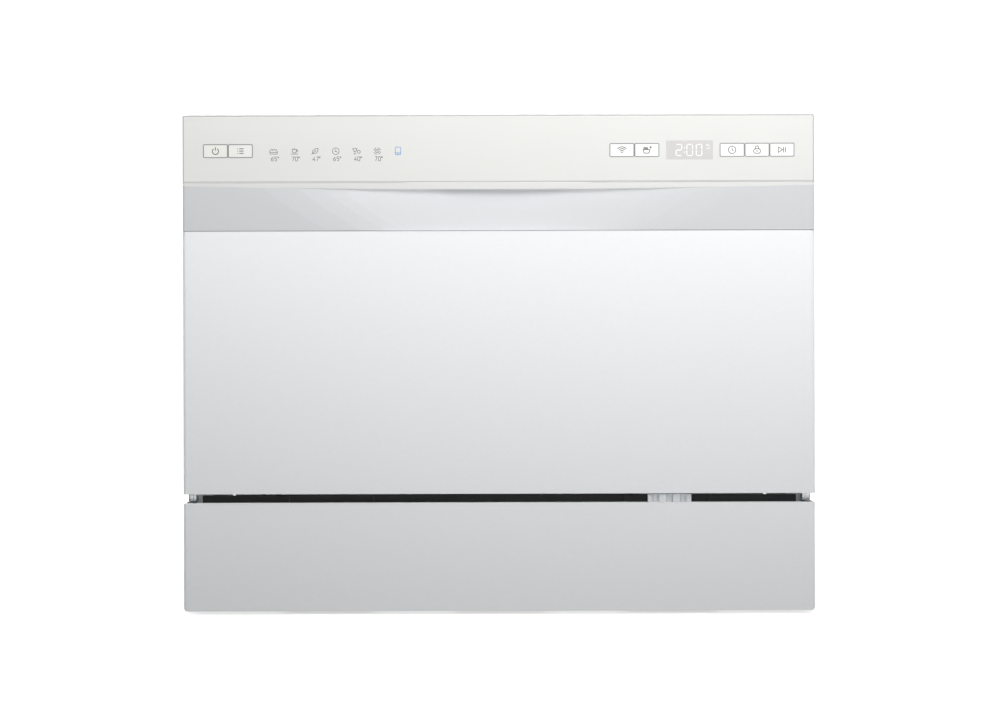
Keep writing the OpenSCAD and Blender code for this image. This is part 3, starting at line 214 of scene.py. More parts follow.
# %% Matt white paper
near_glow, full_glow = 0.6, 1.0
paper, tree, shader, place = start_material(
    "matt_white_paper_roll", "#F6F6F5", Roughness=0.9, Emission_Strength=near_glow)
fibre = add(tree, "TexNoise", {"Scale": per_mm(40), "Detail": 3.0}, {"Vector": place})
vary(tree, shader, fibre.outputs[0], "#F4F4F3", "#F8F8F7")
reflector.data.materials.append(paper)
reflector.visible_diffuse = reflector.visible_camera = False
paper, tree, shader, place = start_material("lit_white_paper_roll", "#F6F6F5", Roughness=0.9)
reach = add(tree, "VectorMath", {"operation": "LENGTH"}, {0: place})
glow = add(tree, "MapRange", {"From Min": 0.6, "From Max": 1.8,
                              "To Min": near_glow, "To Max": full_glow},
           {"Value": reach.outputs["Value"]})
tree.links.new(glow.outputs[0], shader.inputs["Emission Strength"])
surround.data.materials.append(paper)
for ray in ("diffuse", "glossy", "transmission", "shadow"):
    setattr(surround, "visible_" + ray, False)
print("papers", reflector.data.materials[0].name, surround.data.materials[0].name)

# %% [markdown]
# ## Lamps
# A white product on white needs light with a direction, or its edges disappear. Two lamps
# with feathered edges hang before the machine, a little to the right. Their light fades down
# the door, as it does in the photograph. Both narrow side panels stand behind the front, so
# they light the sides and rounded corners but not the front. The top and rear panels are for
# the views from above and behind. A dim sky fills the rest.

# %% Spots, panels and sky
def aimed_light(name, kind, at, aim, watts):
    """A light of one kind that faces a point."""
    data = bpy.data.lights.new(name, kind)
    data.energy = watts
    lamp = bpy.data.objects.new(name, data)
    bpy.context.collection.objects.link(lamp)
    lamp.location = at
    lamp.rotation_euler = (Vector(aim) - Vector(at)).to_track_quat("-Z", "Y").to_euler()
    lamp.visible_camera = False
    return data


for name, at, aim, watts, cone in (
        ("front_spot", (0.4, -2.2, 0.82), (0.08, -0.25, 1.25), 105, 94),
        ("high_spot", (0.25, -1.6, 1.8), (0.25, -0.25, 1.65), 185, 137)):
    spot = aimed_light(name, "SPOT", at, aim, watts)
    spot.spot_size, spot.spot_blend, spot.shadow_soft_size = math.radians(cone), 1.0, 0.3
top = aimed_light("top_panel", "AREA", (0.1, 0.35, 1.9), (0, 0.25, 0.4), 7)
top.shape, top.size = "SQUARE", 1.2
rear = aimed_light("rear_panel", "AREA", (-0.9, 1.5, 1.3), (0, 0.25, 0.2), 20)
rear.shape, rear.size, rear.size_y = "RECTANGLE", 1.2, 0.8
rear.specular_factor = 0.3
for name, x in (("left_panel", -2.0), ("right_panel", 2.0)):
    side = aimed_light(name, "AREA", (x, 0.15, 0.7), (0, 0.1, 0.2), 9)
    side.shape, side.size, side.size_y = "RECTANGLE", 0.4, 1.2
world = bpy.data.worlds.new("studio_air")
bpy.context.scene.world = world
bpy.context.scene.view_settings.view_transform = "Standard"
world.use_nodes = True
world.node_tree.nodes["Background"].inputs["Color"].default_value = linear("#F4F5F7")
world.node_tree.nodes["Background"].inputs["Strength"].default_value = 0.2

# %% [markdown]
# ## Painted steel on the door and the plinth
# The door skin and the kick plate are coil-coated steel: a light silver paint, rolled on and
# baked. It is matt enough to show no lamp, only a tone that grades slowly over the sheet, so
# it isn't metallic and its roughness is 0.55. The paint's flakes are 0.03 mm, too fine for
# one pixel, so they are drawn 1.2 mm wide and almost without contrast. The faint waviness
# called orange peel is about 3 mm wide.

# %% Coil-coated light silver steel
material, tree, shader, place = start_material(
    "coil_coated_light_silver_steel", "#E3E5E6", Metallic=0.0, Roughness=0.55, IOR=1.45)
flakes = add(tree, "TexVoronoi", {"Scale": per_mm(1.2)}, {"Vector": place})
level = add(tree, "SeparateColor", {}, {"Color": flakes.outputs["Color"]})
vary(tree, shader, level.outputs[0], "#E8E9EA", "#EAEBEC")
peel = add(tree, "TexNoise", {"Scale": per_mm(3), "Detail": 1.0}, {"Vector": place})
between(tree, shader, "Roughness", peel.outputs[0], 0.52, 0.58)
emboss(tree, shader, peel.outputs[0], 0.002, 0.3)
finishes["door_paint"] = material
print(material.name, len(tree.nodes), "nodes")

# %% [markdown]
# ## Powder coat on the cabinet
# The wrapper is bent from one sheet and powder coated in silver grey. Powder melts into a
# skin that is slightly rougher than wet paint, with a grain of about a millimetre.

# %% Silver grey powder coat
material, tree, shader, place = start_material(
    "silver_grey_powder_coat", "#CDD0D2", Metallic=0.1, Roughness=0.55, IOR=1.5)
grain = add(tree, "TexNoise", {"Scale": per_mm(1.1), "Detail": 2.0}, {"Vector": place})
vary(tree, shader, grain.outputs[0], "#C9CCCE", "#D1D4D6")
between(tree, shader, "Roughness", grain.outputs[0], 0.48, 0.62)
emboss(tree, shader, grain.outputs[0], 0.02, 0.35)
finishes["wrapper_paint"] = material
print(material.name, len(tree.nodes), "nodes")

# %% [markdown]
# ## Zinc, stainless and bright steel
# Three bare metals. Hot-dip galvanised sheet shows spangle, frozen zinc crystals 8 to 15 mm
# across. The tub and the door liner are brushed stainless: a wheel left scratches that run
# one way, 0.1 mm apart, drawn 0.6 mm apart so that they show. The springs, screws and latch
# parts are bright zinc plate with a slight cloudiness. A metal keeps the shader's own IOR.

# %% Galvanised spangle
material, tree, shader, place = start_material(
    "galvanised_sheet_with_spangle", "#B4B8BA", Metallic=1.0, Roughness=0.42)
crystals = add(tree, "TexVoronoi", {"Scale": per_mm(11)}, {"Vector": place})
tone = add(tree, "SeparateColor", {}, {"Color": crystals.outputs["Color"]})
vary(tree, shader, tone.outputs[0], "#AEB2B4", "#BABDBF")
between(tree, shader, "Roughness", tone.outputs[1], 0.37, 0.47)
finishes["galvanised_steel"] = material
print(material.name, len(tree.nodes), "nodes")

# %% Brushed stainless
material, tree, shader, place = start_material(
    "brushed_stainless_sheet", "#C9C9C6", Metallic=1.0, Roughness=0.3, Anisotropic=0.4)
lines = stretch(tree, place, per_mm(60), per_mm(0.6), per_mm(0.6))
scratch = add(tree, "TexNoise", {"Scale": 1.0, "Detail": 3.0}, {"Vector": lines})
vary(tree, shader, scratch.outputs[0], "#BDBDBA", "#D2D2CF")
between(tree, shader, "Roughness", scratch.outputs[0], 0.22, 0.4)
emboss(tree, shader, scratch.outputs[0], 0.004, 0.25)
finishes["stainless"] = material
print(material.name, len(tree.nodes), "nodes")

# %% Bright zinc plate
material, tree, shader, place = start_material(
    "bright_zinc_plated_steel", "#A9ABAD", Metallic=1.0, Roughness=0.3)
cloud = add(tree, "TexNoise", {"Scale": per_mm(5), "Detail": 2.0}, {"Vector": place})
vary(tree, shader, cloud.outputs[0], "#9EA0A4", "#B8BABA")
between(tree, shader, "Roughness", cloud.outputs[0], 0.24, 0.38)
finishes["spring_steel"] = material
print(material.name, len(tree.nodes), "nodes")

# %% [markdown]
# ## Moulded technical plastics
# Most hidden parts are injection-moulded polypropylene. Its mould is spark-eroded, which
# leaves a matt grain of about 0.3 mm, drawn at 0.7 mm. One function makes such a plastic in
# any colour, because the moulding is the same and only the pigment and gloss change.

# %% One function for matt mouldings
def moulded(slot_name, name, colour, drift, grain_mm=0.7, gloss=0.5, depth=0.02, **sockets):
    """A matt moulded plastic or rubber with grain and a slight drift of its pigment."""
    made, graph, surface, where = start_material(name, colour, Roughness=gloss, **sockets)
    cells = add(graph, "TexNoise", {"Scale": per_mm(grain_mm), "Detail": 2.0}, {"Vector": where})
    broad = add(graph, "TexNoise", {"Scale": per_mm(45), "Detail": 2.0}, {"Vector": where})
    vary(graph, surface, broad.outputs[0], colour, drift)
    between(graph, surface, "Roughness", cells.outputs[0], gloss - 0.07, gloss + 0.07)
    emboss(graph, surface, cells.outputs[0], depth, 0.4)
    finishes[slot_name] = made
    print(name, len(graph.nodes), "nodes")
    return made


moulded("black_plastic", "black_polypropylene", "#0D0E0F", "#131415", IOR=1.49, gloss=0.58)
moulded("dark_plastic", "talc_filled_grey_polypropylene", "#3A3C40", "#434549", IOR=1.49)
moulded("brown_plastic", "brown_phenolic_moulding", "#6B3F26", "#7A4A2E", IOR=1.6, gloss=0.45)
moulded("light_plastic", "light_grey_polypropylene", "#C4C7C9", "#CED0D1", IOR=1.49, gloss=0.42)
moulded("basket_plastic", "mid_grey_basket_polypropylene", "#74797E", "#7E8388", IOR=1.49)

# %% [markdown]
# Unpigmented polypropylene is milky: light enters and comes out again nearby. Subsurface
# scattering gives that. White acetal is denser and glossier, and the coloured caps carry a
# strong pigment so that the user finds them in the tub.

# %% Milky, white and coloured mouldings
moulded("natural_plastic", "natural_polypropylene", "#E6E6DF", "#DCDDD3", IOR=1.49, gloss=0.45,
        Subsurface_Weight=0.25, Subsurface_Scale=0.004)
moulded("white_plastic", "white_acetal", "#EDEDEA", "#E6E6E2", IOR=1.48, gloss=0.34,
        Subsurface_Weight=0.08, Subsurface_Scale=0.002)
moulded("blue_plastic", "blue_polypropylene", "#3E6CA8", "#4876B2", IOR=1.49, gloss=0.4)

# %% [markdown]
# Rubber is the dullest thing in the machine. The door seal is extruded, so its grain runs
# long; hoses are moulded with a cloth finish; the feet are soft and slightly dusty.

# %% Rubbers
moulded("seal_rubber", "extruded_black_rubber", "#2A2A2B", "#313132", 1.2, 0.62, IOR=1.52)
moulded("hose_rubber", "cloth_finished_hose_rubber", "#353537", "#3D3D40", 1.6, 0.66, 0.08,
        IOR=1.52)
moulded("foot_rubber", "soft_foot_rubber", "#242425", "#2D2D2E", 0.9, 0.75, IOR=1.52)

# %% [markdown]
# ## Coated rack wire
# The rack's steel wire is dipped in nylon powder while hot. The coat is 0.3 mm thick, smooth
# and slightly uneven, so highlights along a wire wander a little. The folding tines carry a
# blue-grey coat that tells the user that they move.

# %% Nylon coats
moulded("coated_wire", "grey_nylon_coated_wire", "#8E9499", "#979DA2", 5.0, 0.34, 0.05, IOR=1.53)
moulded("tine_wire", "blue_grey_nylon_coated_wire", "#62809C", "#6C8AA6", 5.0, 0.34, 0.05,
        IOR=1.53)

# %% [markdown]
# ## The control fascia
# The fascia is ABS moulded against a finely blasted tool: a warm white with a satin surface.
# It shows as hex #ECEDEA in the photograph and is lit strongly, so its own colour is darker.
# Its tone is even, and tone and roughness drift only a little. The caps are a shade lighter
# and glossier, because the fingers polish them.

# %% Satin white ABS and the button caps
material, tree, shader, place = start_material(
    "satin_warm_white_abs", "#D7D7D4", Roughness=0.55, IOR=1.45)
flow = add(tree, "TexNoise", {"Scale": per_mm(70), "Detail": 2.0}, {"Vector": place})
vary(tree, shader, flow.outputs[0], "#D5D5D2", "#D8D8D5")
between(tree, shader, "Roughness", flow.outputs[0], 0.52, 0.58)
finishes["fascia_plastic"] = material
moulded("button_plastic", "ivory_white_abs_caps", "#E4E3DF", "#E1E0DB", 0.6, 0.32, 0.004, IOR=1.54)
print(material.name, len(tree.nodes), "nodes")

# %% [markdown]
# ## Silver lacquer on the grip
# The grip is ABS sprayed with a matt silver lacquer. It is a little darker than the door. The
# scoop is lighter than the band's ends because it leans towards the lamps, not because it
# mirrors them, so the lacquer is rough and not metallic.

# %% Silver lacquered grip
material, tree, shader, place = start_material(
    "silver_lacquered_abs", "#C5C6C8", Metallic=0.0, Roughness=0.58, IOR=1.45)
mist = add(tree, "TexNoise", {"Scale": per_mm(1.6), "Detail": 2.0}, {"Vector": place})
vary(tree, shader, mist.outputs[0], "#C3C4C6", "#C7C8CA")
between(tree, shader, "Roughness", mist.outputs[0], 0.55, 0.61)
finishes["grip_silver"] = material
print(material.name, len(tree.nodes), "nodes")

# %% [markdown]
# ## Display lens and circuit board
# The lens is grey-tinted acrylic, printed light grey behind, so the display is a quiet grey
# patch. The board is glass-fibre laminate under green solder resist: tracks underneath
# show as slightly lighter lines on a 2.5 mm grid.

# %% Tinted lens and green board
material, tree, shader, place = start_material(
    "grey_tinted_acrylic_lens", "#BCBAB7", Roughness=0.32, IOR=1.49)
haze = add(tree, "TexNoise", {"Scale": per_mm(12), "Detail": 1.0}, {"Vector": place})
vary(tree, shader, haze.outputs[0], "#AFADAA", "#B4B2AF")
finishes["display_lens"] = material
material, tree, shader, place = start_material(
    "green_solder_resist_laminate", "#2C6A48", Roughness=0.35, IOR=1.55)
turned = add(tree, "Mapping", {"Rotation": (math.pi / 2, 0, 0)}, {"Vector": place})
tracks = add(tree, "TexBrick", {"Scale": per_mm(10), "Mortar Size": 0.03, "Row Height": 0.25,
                                "Brick Width": 1.3}, {"Vector": turned.outputs[0]})
vary(tree, shader, tracks.outputs["Fac"], "#25603F", "#3E8560")
finishes["board_green"] = material
print("lens and board", finishes["display_lens"].name, material.name)

# %% [markdown]
# ## Dressing the frame
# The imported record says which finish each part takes. A CAD part keeps its shape and place;
# only the material in its slots is exchanged, so the whole machine is dressed in one loop.

# %% Give every part its finish
for part in frame["record"]["subparts"]:
    body = frame["nodes"][part["node"]]
    for index in range(max(1, len(body.material_slots))):
        if not body.material_slots:
            body.data.materials.append(finishes[part["material_slot"]])
        else:
            body.material_slots[index].material = finishes[part["material_slot"]]
used = sorted({p["material_slot"] for p in frame["record"]["subparts"]})
print("finishes used", len(used), "missing", [s for s in used if s not in finishes])

# %% [markdown]
# ## The upright pad in the scoop
# Under the fascia's lip the scoop turns upright, so that the fingertips meet a flat place.
# From the front it is a soft lens, darker than the scoop, which leans towards the light. It
# could be cut into the scoop with a boolean, but that leaves a hard edge. So the pad is a
# skin that leaves the scoop without a crease and ends behind the lip. The sizes of the
# scoop, in millimetres, are those of the CAD model.

# %% Upright pad
FRONT = cad_box[0].y
scoop_radius, scoop_low, scoop_high, band_high = 775.0, 8.0, 19.0, 40.5
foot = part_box("handle_grip")[0].z * 1000 + band_high
lean = (scoop_high - scoop_low) / band_high


def scoop_depth(x, below):
    """How far the scoop lies behind the front, at a height below the foot of the fascia."""
    return scoop_high - lean * below - x * x / (2 * scoop_radius) * math.hypot(1, lean)


def closed_skin(name, front, back, slot, body):
    """A solid between two grids of points that share their outline's shape."""
    bm = bmesh.new()
    grids = [[[bm.verts.new((mm(x), FRONT + mm(y), mm(z))) for x, y, z in line] for line in grid]
             for grid in (front, back)]
    for grid in grids:
        for low, high in zip(grid, grid[1:]):
            for i in range(len(low) - 1):
                bm.faces.new((low[i], low[i + 1], high[i + 1], high[i]))
    rims = [[g[0][i] for i in range(len(g[0]))] + [line[-1] for line in g[1:]]
            + g[-1][-2::-1] + [line[0] for line in g[-2:0:-1]] for g in grids]
    for i in range(len(rims[0])):
        j = (i + 1) % len(rims[0])
        bm.faces.new((rims[0][i], rims[0][j], rims[1][j], rims[1][i]))
    bmesh.ops.recalc_face_normals(bm, faces=bm.faces[:])
    mesh = bpy.data.meshes.new(name)
    bm.to_mesh(mesh)
    for face in mesh.polygons:
        face.use_smooth = True
    mesh.set_sharp_from_angle(angle=math.radians(30))
    made = bpy.data.objects.new(name, mesh)
    bpy.context.collection.objects.link(made)
    mesh.materials.append(finishes[slot])
    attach(made, body)
    return made


half, turn, rows, columns = 70.5, 7.0, 14, 40
end_drop, middle_drop, hidden_top, pad_thick = 4.3, 11.6, 1.2, 0.6
front_grid, back_grid = [], []
for k in range(rows + 1):
    front_line, back_line = [], []
    for i in range(columns + 1):
        x = half * (2 * i / columns - 1) * 0.999
        lowest = end_drop + middle_drop * (1 - (x / half) ** 2)
        below = lowest + (hidden_top - lowest) * k / rows
        up = lowest - below
        eased = up - up * up / (2 * turn) if up < turn else turn / 2
        front_line.append((x, scoop_depth(x, lowest) + lean * eased - 0.02, foot - below))
        back_line.append((x, scoop_depth(x, below) + pad_thick, foot - below))
    front_grid.append(front_line)
    back_grid.append(back_line)
pad = closed_skin("upright_pad", front_grid, back_grid, "grip_silver", "door")
print("pad faces", len(pad.data.polygons), "foot of the fascia at", round(foot, 2))

# %% [markdown]
# ## The fascia's lower lip
# A narrow strip runs along the foot of the fascia. It is 2 mm high at the ends and 5 mm in
# the middle, where it hangs in front of the scoop and hides the fingertips. It stands as
# little before the band as a printed film, so the machine keeps its depth.

# %% Lower lip
strip, tree, shader, place = start_material(
    "satin_white_abs_strip", "#D2D2D0", Roughness=0.5, IOR=1.5)
cloud = add(tree, "TexNoise", {"Scale": per_mm(40), "Detail": 2.0}, {"Vector": place})
vary(tree, shader, cloud.outputs[0], "#D0D0CE", "#D4D4D2")
half_strip = cad_box[1].x * 1000 - 0.6
end_hang, middle_hang, lip_proud, lip_thick, columns = 1.7, 3.2, 0.04, 1.1, 48
lip_front, lip_back = [], []
for share in (0.0, 0.5, 1.0):
    line = []
    for i in range(columns + 1):
        x = half_strip * (2 * i / columns - 1)
        hang = end_hang + middle_hang * (1 - (x / half_strip) ** 2)
        line.append((x, foot - hang + (hang + 0.5) * share))
    lip_front.append([(x, -lip_proud, z) for x, z in line])
    lip_back.append([(x, lip_thick, z) for x, z in line])
lip = closed_skin("fascia_lower_lip", lip_front, lip_back, "fascia_plastic", "door")
lip.data.materials.clear()
lip.data.materials.append(strip)
print("lip", round(half_strip * 2, 1), "mm wide")

# %% [markdown]
# ## Printed marks
# The panel's symbols are pad printed: a flat film of ink with lines half a millimetre wide.
# Each symbol is drawn as strokes in millimetres, like pen strokes, and one function lays a
# thin ribbon along every stroke on the front plane. Thickness is 0.04 mm, as thick as ink.

# %% Pen strokes become ribbons of ink
def arc(x, z, radius, start, end, steps=14):
    """Points of an arc, with angles in degrees."""
    turns = [math.radians(start + (end - start) * i / steps) for i in range(steps + 1)]
    return [(x + radius * math.cos(a), z + radius * math.sin(a)) for a in turns]


def ribbon(bm, points, width, lift, at):
    """One stroke as a strip of quads that keeps its width round each corner."""
    path = [Vector(p) for p in points]
    closed = (path[0] - path[-1]).length < 1e-6
    path = path[:-1] if closed else path
    count = len(path)
    rails = []
    for i, point in enumerate(path):
        back = point - path[i - 1] if i or closed else path[1] - point
        ahead = path[(i + 1) % count] - point if i < count - 1 or closed else back
        back, ahead = back.normalized(), ahead.normalized()
        along = (back + ahead).normalized() if (back + ahead).length > 1e-6 else back
        side = Vector((-along.y, along.x))
        reach = width / 2 / max(0.55, side.dot(Vector((-back.y, back.x))))
        rails.append([bm.verts.new((mm(at[0] + q.x), FRONT - mm(lift), mm(at[1] + q.y)))
                      for q in (point + side * reach, point - side * reach)])
    for a, b in zip(rails, rails[1:] + (rails[:1] if closed else [])):
        bm.faces.new((a[0], a[1], b[1], b[0]))


def print_mark(name, strokes, at, ink, body, width=0.55, lift=0.04):
    """A printed symbol at a place on the front, in millimetres from the symbol's centre."""
    bm = bmesh.new()
    for stroke in strokes:
        ribbon(bm, stroke, width, lift, at)
    bmesh.ops.recalc_face_normals(bm, faces=bm.faces[:])
    for face in bm.faces:
        if face.normal.y > 0:
            face.normal_flip()
    mesh = bpy.data.meshes.new(name)
    bm.to_mesh(mesh)
    mesh.materials.append(ink)
    mark = bpy.data.objects.new(name, mesh)
    bpy.context.collection.objects.link(mark)
    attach(mark, body)
    return mark


print("front plane at", round(FRONT * 1000, 2), "mm")

# %% [markdown]
# Pad-printing ink is matt and its shade drifts a little. The symbols are dark grey, one is
# blue, the lines round the caps are mid grey, and the display's segments are white with a
# faint glow, because they are lit from behind. Two more greys are painted shade: one for the
# fascia's rounded rim, and a darker one for the shadow in the seam's gap.

# %% Inks
def ink_film(name, low, high, glow=0.0):
    """A matt ink with a slight drift of its shade, and a glow for lit segments."""
    made, graph, surface, where = start_material(name, low, Roughness=0.6, IOR=1.5)
    speckle = add(graph, "TexNoise", {"Scale": per_mm(0.8), "Detail": 1.0}, {"Vector": where})
    vary(graph, surface, speckle.outputs[0], low, high)
    if glow:
        surface.inputs["Emission Color"].default_value = linear(high)
        surface.inputs["Emission Strength"].default_value = glow
    return made


grey_ink = ink_film("warm_grey_pad_ink", "#424448", "#4C4E52")
frame_ink = ink_film("grey_button_surround", "#7E7F80", "#868788")
blue_ink = ink_film("light_blue_pad_ink", "#3F83C6", "#4B8DCE")
lit_white = ink_film("lit_white_segment", "#F2F2F0", "#F6F6F4", 0.12)
# Painted shade: a grey for the fascia's rounded rim, and a darker grey for the seam's shadow.
rim_shade_grey = ink_film("painted_rim_shade_grey", "#A8A8A6", "#AEAEAC")
seam_shadow_grey = ink_film("painted_seam_shadow_grey", "#707172", "#787979")
print("inks", grey_ink.name, blue_ink.name, lit_white.name)

# %% [markdown]
# ## Painted shade on the rim and in the seam
# The fascia's front skin turns round at its top and both ends. That rounded rim faces away
# from the lamps, so a fine grey line paints its shade. A dark line paints the shadow in the gap
# where the silver band meets the door skin. Both are under a millimetre wide, so they are laid
# on like the ink.

# %% Painted shade on the fascia's rim and in the band's seam
top_z = cad_box[1].z * 1000
rim_x, rim_z, corner = cad_box[1].x * 1000 - 0.75, top_z - 0.7, 1.6
rim = [(-rim_x, foot + 0.5)] + [(px, pz) for px, pz in (
    arc(-rim_x + corner, rim_z - corner, corner, 180, 90, 5)
    + arc(rim_x - corner, rim_z - corner, corner, 90, 0, 5))] + [(rim_x, foot + 0.5)]
# Painted shade: a grey line along the fascia's rounded top and ends.
print_mark("fascia_rim_painted_shade", [rim], (0, 0), rim_shade_grey, "door", 0.9, 0.02)
seam_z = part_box("door_outer_panel")[1].z * 1000
# Painted shadow: a dark line in the gap between the silver band and the door skin.
print_mark("band_seam_painted_shadow", [[(-rim_x, seam_z), (rim_x, seam_z)]], (0, 0), seam_shadow_grey,
           "door", 0.6, 0.02)
print("seam at", round(seam_z, 2), "mm")

# %% [markdown]
# ## Buttons
# Seven caps stand in grey surrounds. The line round each cap is about 1 mm wide on the
# photograph, wider than the gap between cap and window, so a printed surround of half a
# millimetre lies on the fascia and a fine rim on each cap. Rims and symbols ride on the caps,
# because they move with them when pressed.

# %% Places of the buttons
def middle(node):
    """Centre of a part in millimetres, across and up."""
    low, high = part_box(node)
    return (low.x + high.x) * 500, (low.z + high.z) * 500


def frame_line(width, height, corner):
    """A closed rounded rectangle as one stroke."""
    x, z = width / 2 - corner, height / 2 - corner
    line = []
    for sx, sz, turn in ((x, z, 0), (-x, z, 90), (-x, -z, 180), (x, -z, 270)):
        line += arc(sx, sz, corner, turn, turn + 90, 4)
    return line + [line[0]]


buttons = [n for n in frame["nodes"] if n.startswith("button_")]
cap_w, cap_h = 20.6, 11.0
for name in buttons:
    spot = middle(name)
    print_mark("surround_" + name[7:], [frame_line(cap_w + 0.6, cap_h + 0.6, 1.0)], spot,
               frame_ink, "door", 0.55, 0.03)
    print_mark("rim_" + name[7:], [frame_line(cap_w - 0.3, cap_h - 0.3, 0.8)], spot,
               frame_ink, name, 0.28)
print("buttons", len(buttons), "first at", [round(v, 1) for v in middle(buttons[0])])

# %% [markdown]
# The symbols are the generic ones of household machines: power, a list of programmes, a
# wireless fan, a pan with a plus sign, a clock, a padlock, and start with pause. Lettering is
# left out, so the list sign stands where the photograph has a letter.

# %% Symbols on the caps
symbols = {
    "button_power": [arc(0, -0.2, 2.7, 125, 415, 20), [(0, 0.4), (0, 3.3)]],
    "button_program": [[(-2.6, z), (-1.9, z)] for z in (2, 0, -2)]
    + [[(-0.9, z), (2.8, z)] for z in (2, 0, -2)],
    "button_wifi": [arc(0, -2.3, r, 42, 138, 12) for r in (1.9, 3.5, 5.1)]
    + [arc(0, -2.1, 0.3, 0, 360, 8)],
    "button_extra": [[(-3.6, 0.4), (3.0, 0.4)], [(-3.0, 0.4), (-2.7, -1.9), (-1.9, -2.7),
                     (1.3, -2.7), (2.1, -1.9), (2.4, 0.4)], arc(-1.9, 1.7, 0.8, 0, 360, 10),
                     arc(0.1, 1.6, 0.6, 0, 360, 10), [(2.2, 2.4), (4.4, 2.4)],
                     [(3.3, 1.3), (3.3, 3.5)]],
    "button_delay": [arc(0, 0, 3.2, 0, 360, 24), [(0, 1.9), (0, 0), (1.2, -0.9)]],
    "button_lock": [frame_line(5.8, 3.9, 1.7), arc(0, 3.0, 1.5, 0, 180, 10),
                    [(-1.5, 2.1), (-1.5, 3.0)], [(1.5, 2.1), (1.5, 3.0)],
                    arc(0, 0, 0.25, 0, 360, 8)],
    "button_start": [[(-3.1, 2.4), (-3.1, -2.4), (0.5, 0), (-3.1, 2.4)], [(1.4, 2.4), (1.4, -2.4)],
                     [(3.0, 2.4), (3.0, -2.4)]],
}
for name, strokes in symbols.items():
    x, z = middle(name)
    drop = 1.1 if name == "button_lock" else 0.0
    print_mark("symbol_" + name[7:], strokes, (x, z - drop), grey_ink, name, 0.7, 0.05)
print("cap symbols", len(symbols))

# %% [markdown]
# ## Programme symbols and temperatures
# Six small symbols stand in a row, 18 mm apart, with the wash temperature in degrees below
# each: dishes in a basket, a cup on its saucer, a leaf for the saving programme, a quick
# clock, a glass with a plate, and a rinse spray. The seventh is a blue outline with no number.
# The places of the row are measured in the photograph, from its middle and from the top edge.

# %% Digits as strokes
seven = {"a": [(-1, 2), (1, 2)], "b": [(1, 2), (1, 0)], "c": [(1, 0), (1, -2)],
         "d": [(1, -2), (-1, -2)], "e": [(-1, -2), (-1, 0)], "f": [(-1, 0), (-1, 2)],
         "g": [(-1, 0), (1, 0)]}
small_digits = {
    "0": [frame_line(2.0, 3.7, 0.9)],
    "4": [[(0.5, -1.85), (0.5, 1.85), (-1.0, -0.7), (1.1, -0.7)]],
    "5": [[(0.9, 1.85), (-0.8, 1.85), (-0.9, 0.2), (0.3, 0.4), (0.95, -0.6), (0.3, -1.75),
           (-0.95, -1.5)]],
    "6": [[(0.7, 1.85), (-0.5, 0.9), (-0.95, -0.6)] + arc(0, -0.8, 1.0, 180, -180, 12)],
    "7": [[(-1.0, 1.85), (1.0, 1.85), (-0.3, -1.85)]],
}


def shifted(strokes, x, z=0.0):
    """Strokes moved sideways, to set digits in a row."""
    return [[(px + x, pz + z) for px, pz in stroke] for stroke in strokes]


print("digits drawn", sorted(small_digits))

# %% The row of programmes
first_sign, sign_pitch, sign_drop, number_drop, sign_line = -195.7, 18.05, 31.5, 38.2, 0.46
row = {
    "dishes": [[(-3.4, 0.5), (-3.0, -2.4), (3.0, -2.4), (3.4, 0.5)],
               arc(-1.8, 0.6, 1.1, 0, 180, 8), arc(0.5, 0.6, 1.1, 0, 180, 8),
               [(2.4, 0.5), (2.4, 2.0)], [(-3.2, -0.9), (3.2, -0.9)]],
    "cup": [[(-1.9, 1.6), (-1.6, -0.8), (-0.8, -1.4), (0.8, -1.4), (1.6, -0.8), (1.9, 1.6),
             (-1.9, 1.6)], arc(2.0, 0.4, 0.9, -90, 90, 8), [(-3.2, -2.4), (3.2, -2.4)],
            [(-0.6, 2.3), (0.6, 2.3)]],
    "leaf": [[(-2.6, -2.2), (-1.9, 0.6), (0.2, 2.2), (2.7, 2.4), (2.3, -0.2), (0.8, -1.9),
              (-1.6, -1.8)], [(-2.9, -2.7), (1.2, 1.0)]],
    "quick": [arc(0, 0, 2.9, 0, 360, 20), [(0, 1.7), (0, 0), (1.5, -1.2)], [(0, 0), (-1.2, -0.5)]],
    "glass": [[(-3.2, 2.2), (0.4, 2.2), (-0.1, 0.4), (-1.0, -0.2), (-1.8, -0.2), (-2.7, 0.4),
               (-3.2, 2.2)], [(-1.4, -0.2), (-1.4, -2.4)], [(-2.5, -2.4), (-0.3, -2.4)],
              arc(2.0, -0.6, 1.3, 0, 360, 12)],
    "spray": [arc(0, 0, 1.5, 0, 360, 12)] + [arc(0, 0, 2.9, a, a + 60, 6)
              for a in (20, 110, 200, 290)] + [[(-0.6, 0), (0.6, 0)]],
}
degrees = ["65", "70", "47", "65", "40", "70"]
for i, (name, strokes) in enumerate(row.items()):
    x = first_sign + sign_pitch * i
    print_mark("programme_" + name, strokes, (x, top_z - sign_drop), grey_ink, "door",
               sign_line)
    number = shifted(small_digits[degrees[i][0]], -1.5) + shifted(small_digits[degrees[i][1]], 1.5)
    number += [arc(3.6, 1.4, 0.5, 0, 360, 8)]
    print_mark("heat_" + name, number, (x + 0.4, top_z - number_drop), grey_ink, "door",
               sign_line)
print_mark("programme_outline", [frame_line(4.6, 6.6, 0.7), [(-2.3, -1.7), (2.3, -1.7)],
           [(-0.6, -2.5), (0.6, -2.5)]], (first_sign + sign_pitch * 6, top_z - sign_drop + 0.1),
           blue_ink, "door", 0.5)
print("programmes", list(row))

# %% [markdown]
# ## The display
# The clock shows two hours in white seven-segment digits, 10 mm tall, with a small tap symbol
# above right. Each segment is its own short stroke with a gap at both ends, as in the lens.

# %% Lit digits
shapes = {"2": "abged", "0": "abcdef"}
lens_x, lens_z = middle("display_window")


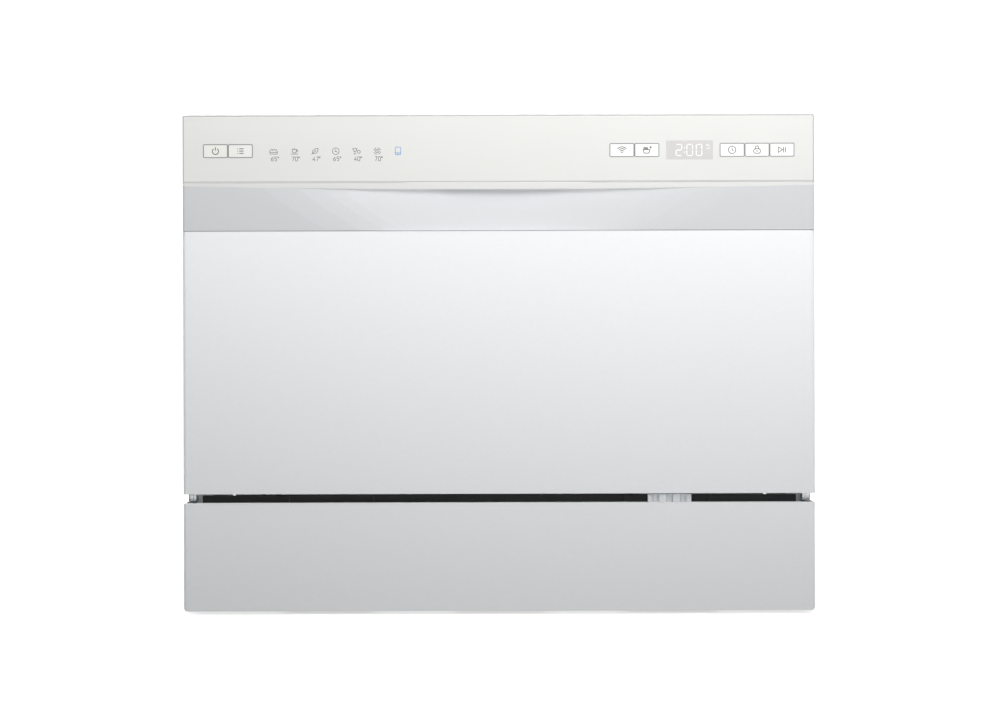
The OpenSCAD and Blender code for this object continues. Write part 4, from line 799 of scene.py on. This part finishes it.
def lit_digit(figure, x):
    """One seven-segment digit, its segments shortened at both ends."""
    strokes = []
    for key in shapes[figure]:
        (ax, az), (bx, bz) = [(px * 2.45, pz * 2.45) for px, pz in seven[key]]
        length = math.hypot(bx - ax, bz - az)
        ux, uz = (bx - ax) / length * 0.45, (bz - az) / length * 0.45
        strokes.append([(x + ax + ux, az + uz), (x + bx - ux, bz - uz)])
    return strokes


clock = lit_digit("2", -9.3) + lit_digit("0", 0.1) + lit_digit("0", 8.2)
clock += [[(-4.5, z - 0.45), (-4.5, z + 0.45)] for z in (1.9, -1.9)]
print_mark("digit_clock", clock, (lens_x, lens_z), lit_white, "door", 0.58, 0.03)
tap = [[(-1.6, 0.6), (0.4, 0.6), (1.2, -0.2), (1.2, -1.0)], [(-0.6, 0.6), (-0.6, 1.5)],
       [(-1.4, 1.5), (0.3, 1.5)], [(-1.6, -2.0), (1.6, -2.0)]]
print_mark("digit_tap_sign", tap, (lens_x + 16.0, lens_z + 3.4), lit_white, "door", 0.32, 0.03)
print("segments", len(clock))

# %% [markdown]
# ## A soft scoop and a quiet top
# A studio lifts the shade under an edge with a small card held close by. Here the parts on
# the door are left out of what blocks the high spot, which lifts the scoop in the same way.
# A second card would keep that lamp off the cabinet's top, which lies closest to it and would
# burn out. Light linking does both: one collection for what casts no shade, and one for what
# takes no light.

# %% Keep the fascia's shade off the scoop and the lamp off the top
shades = bpy.data.collections.new("blockers_of_high_spot")
on_door = [n for body, nodes in frame["record"]["behaviour"]["bodies"].items()
           if body == "door" or body.startswith("button") for n in nodes]
for part in [frame["nodes"][n] for n in on_door] + [lip, pad]:
    shades.objects.link(part)
for entry in shades.collection_objects:
    entry.light_linking.link_state = "EXCLUDE"
bpy.data.objects["high_spot"].light_linking.blocker_collection = shades
lit = bpy.data.collections.new("lit_by_high_spot")
lit.objects.link(frame["nodes"]["cabinet_wrapper"])
for entry in lit.collection_objects:
    entry.light_linking.link_state = "EXCLUDE"
bpy.data.objects["high_spot"].light_linking.receiver_collection = lit
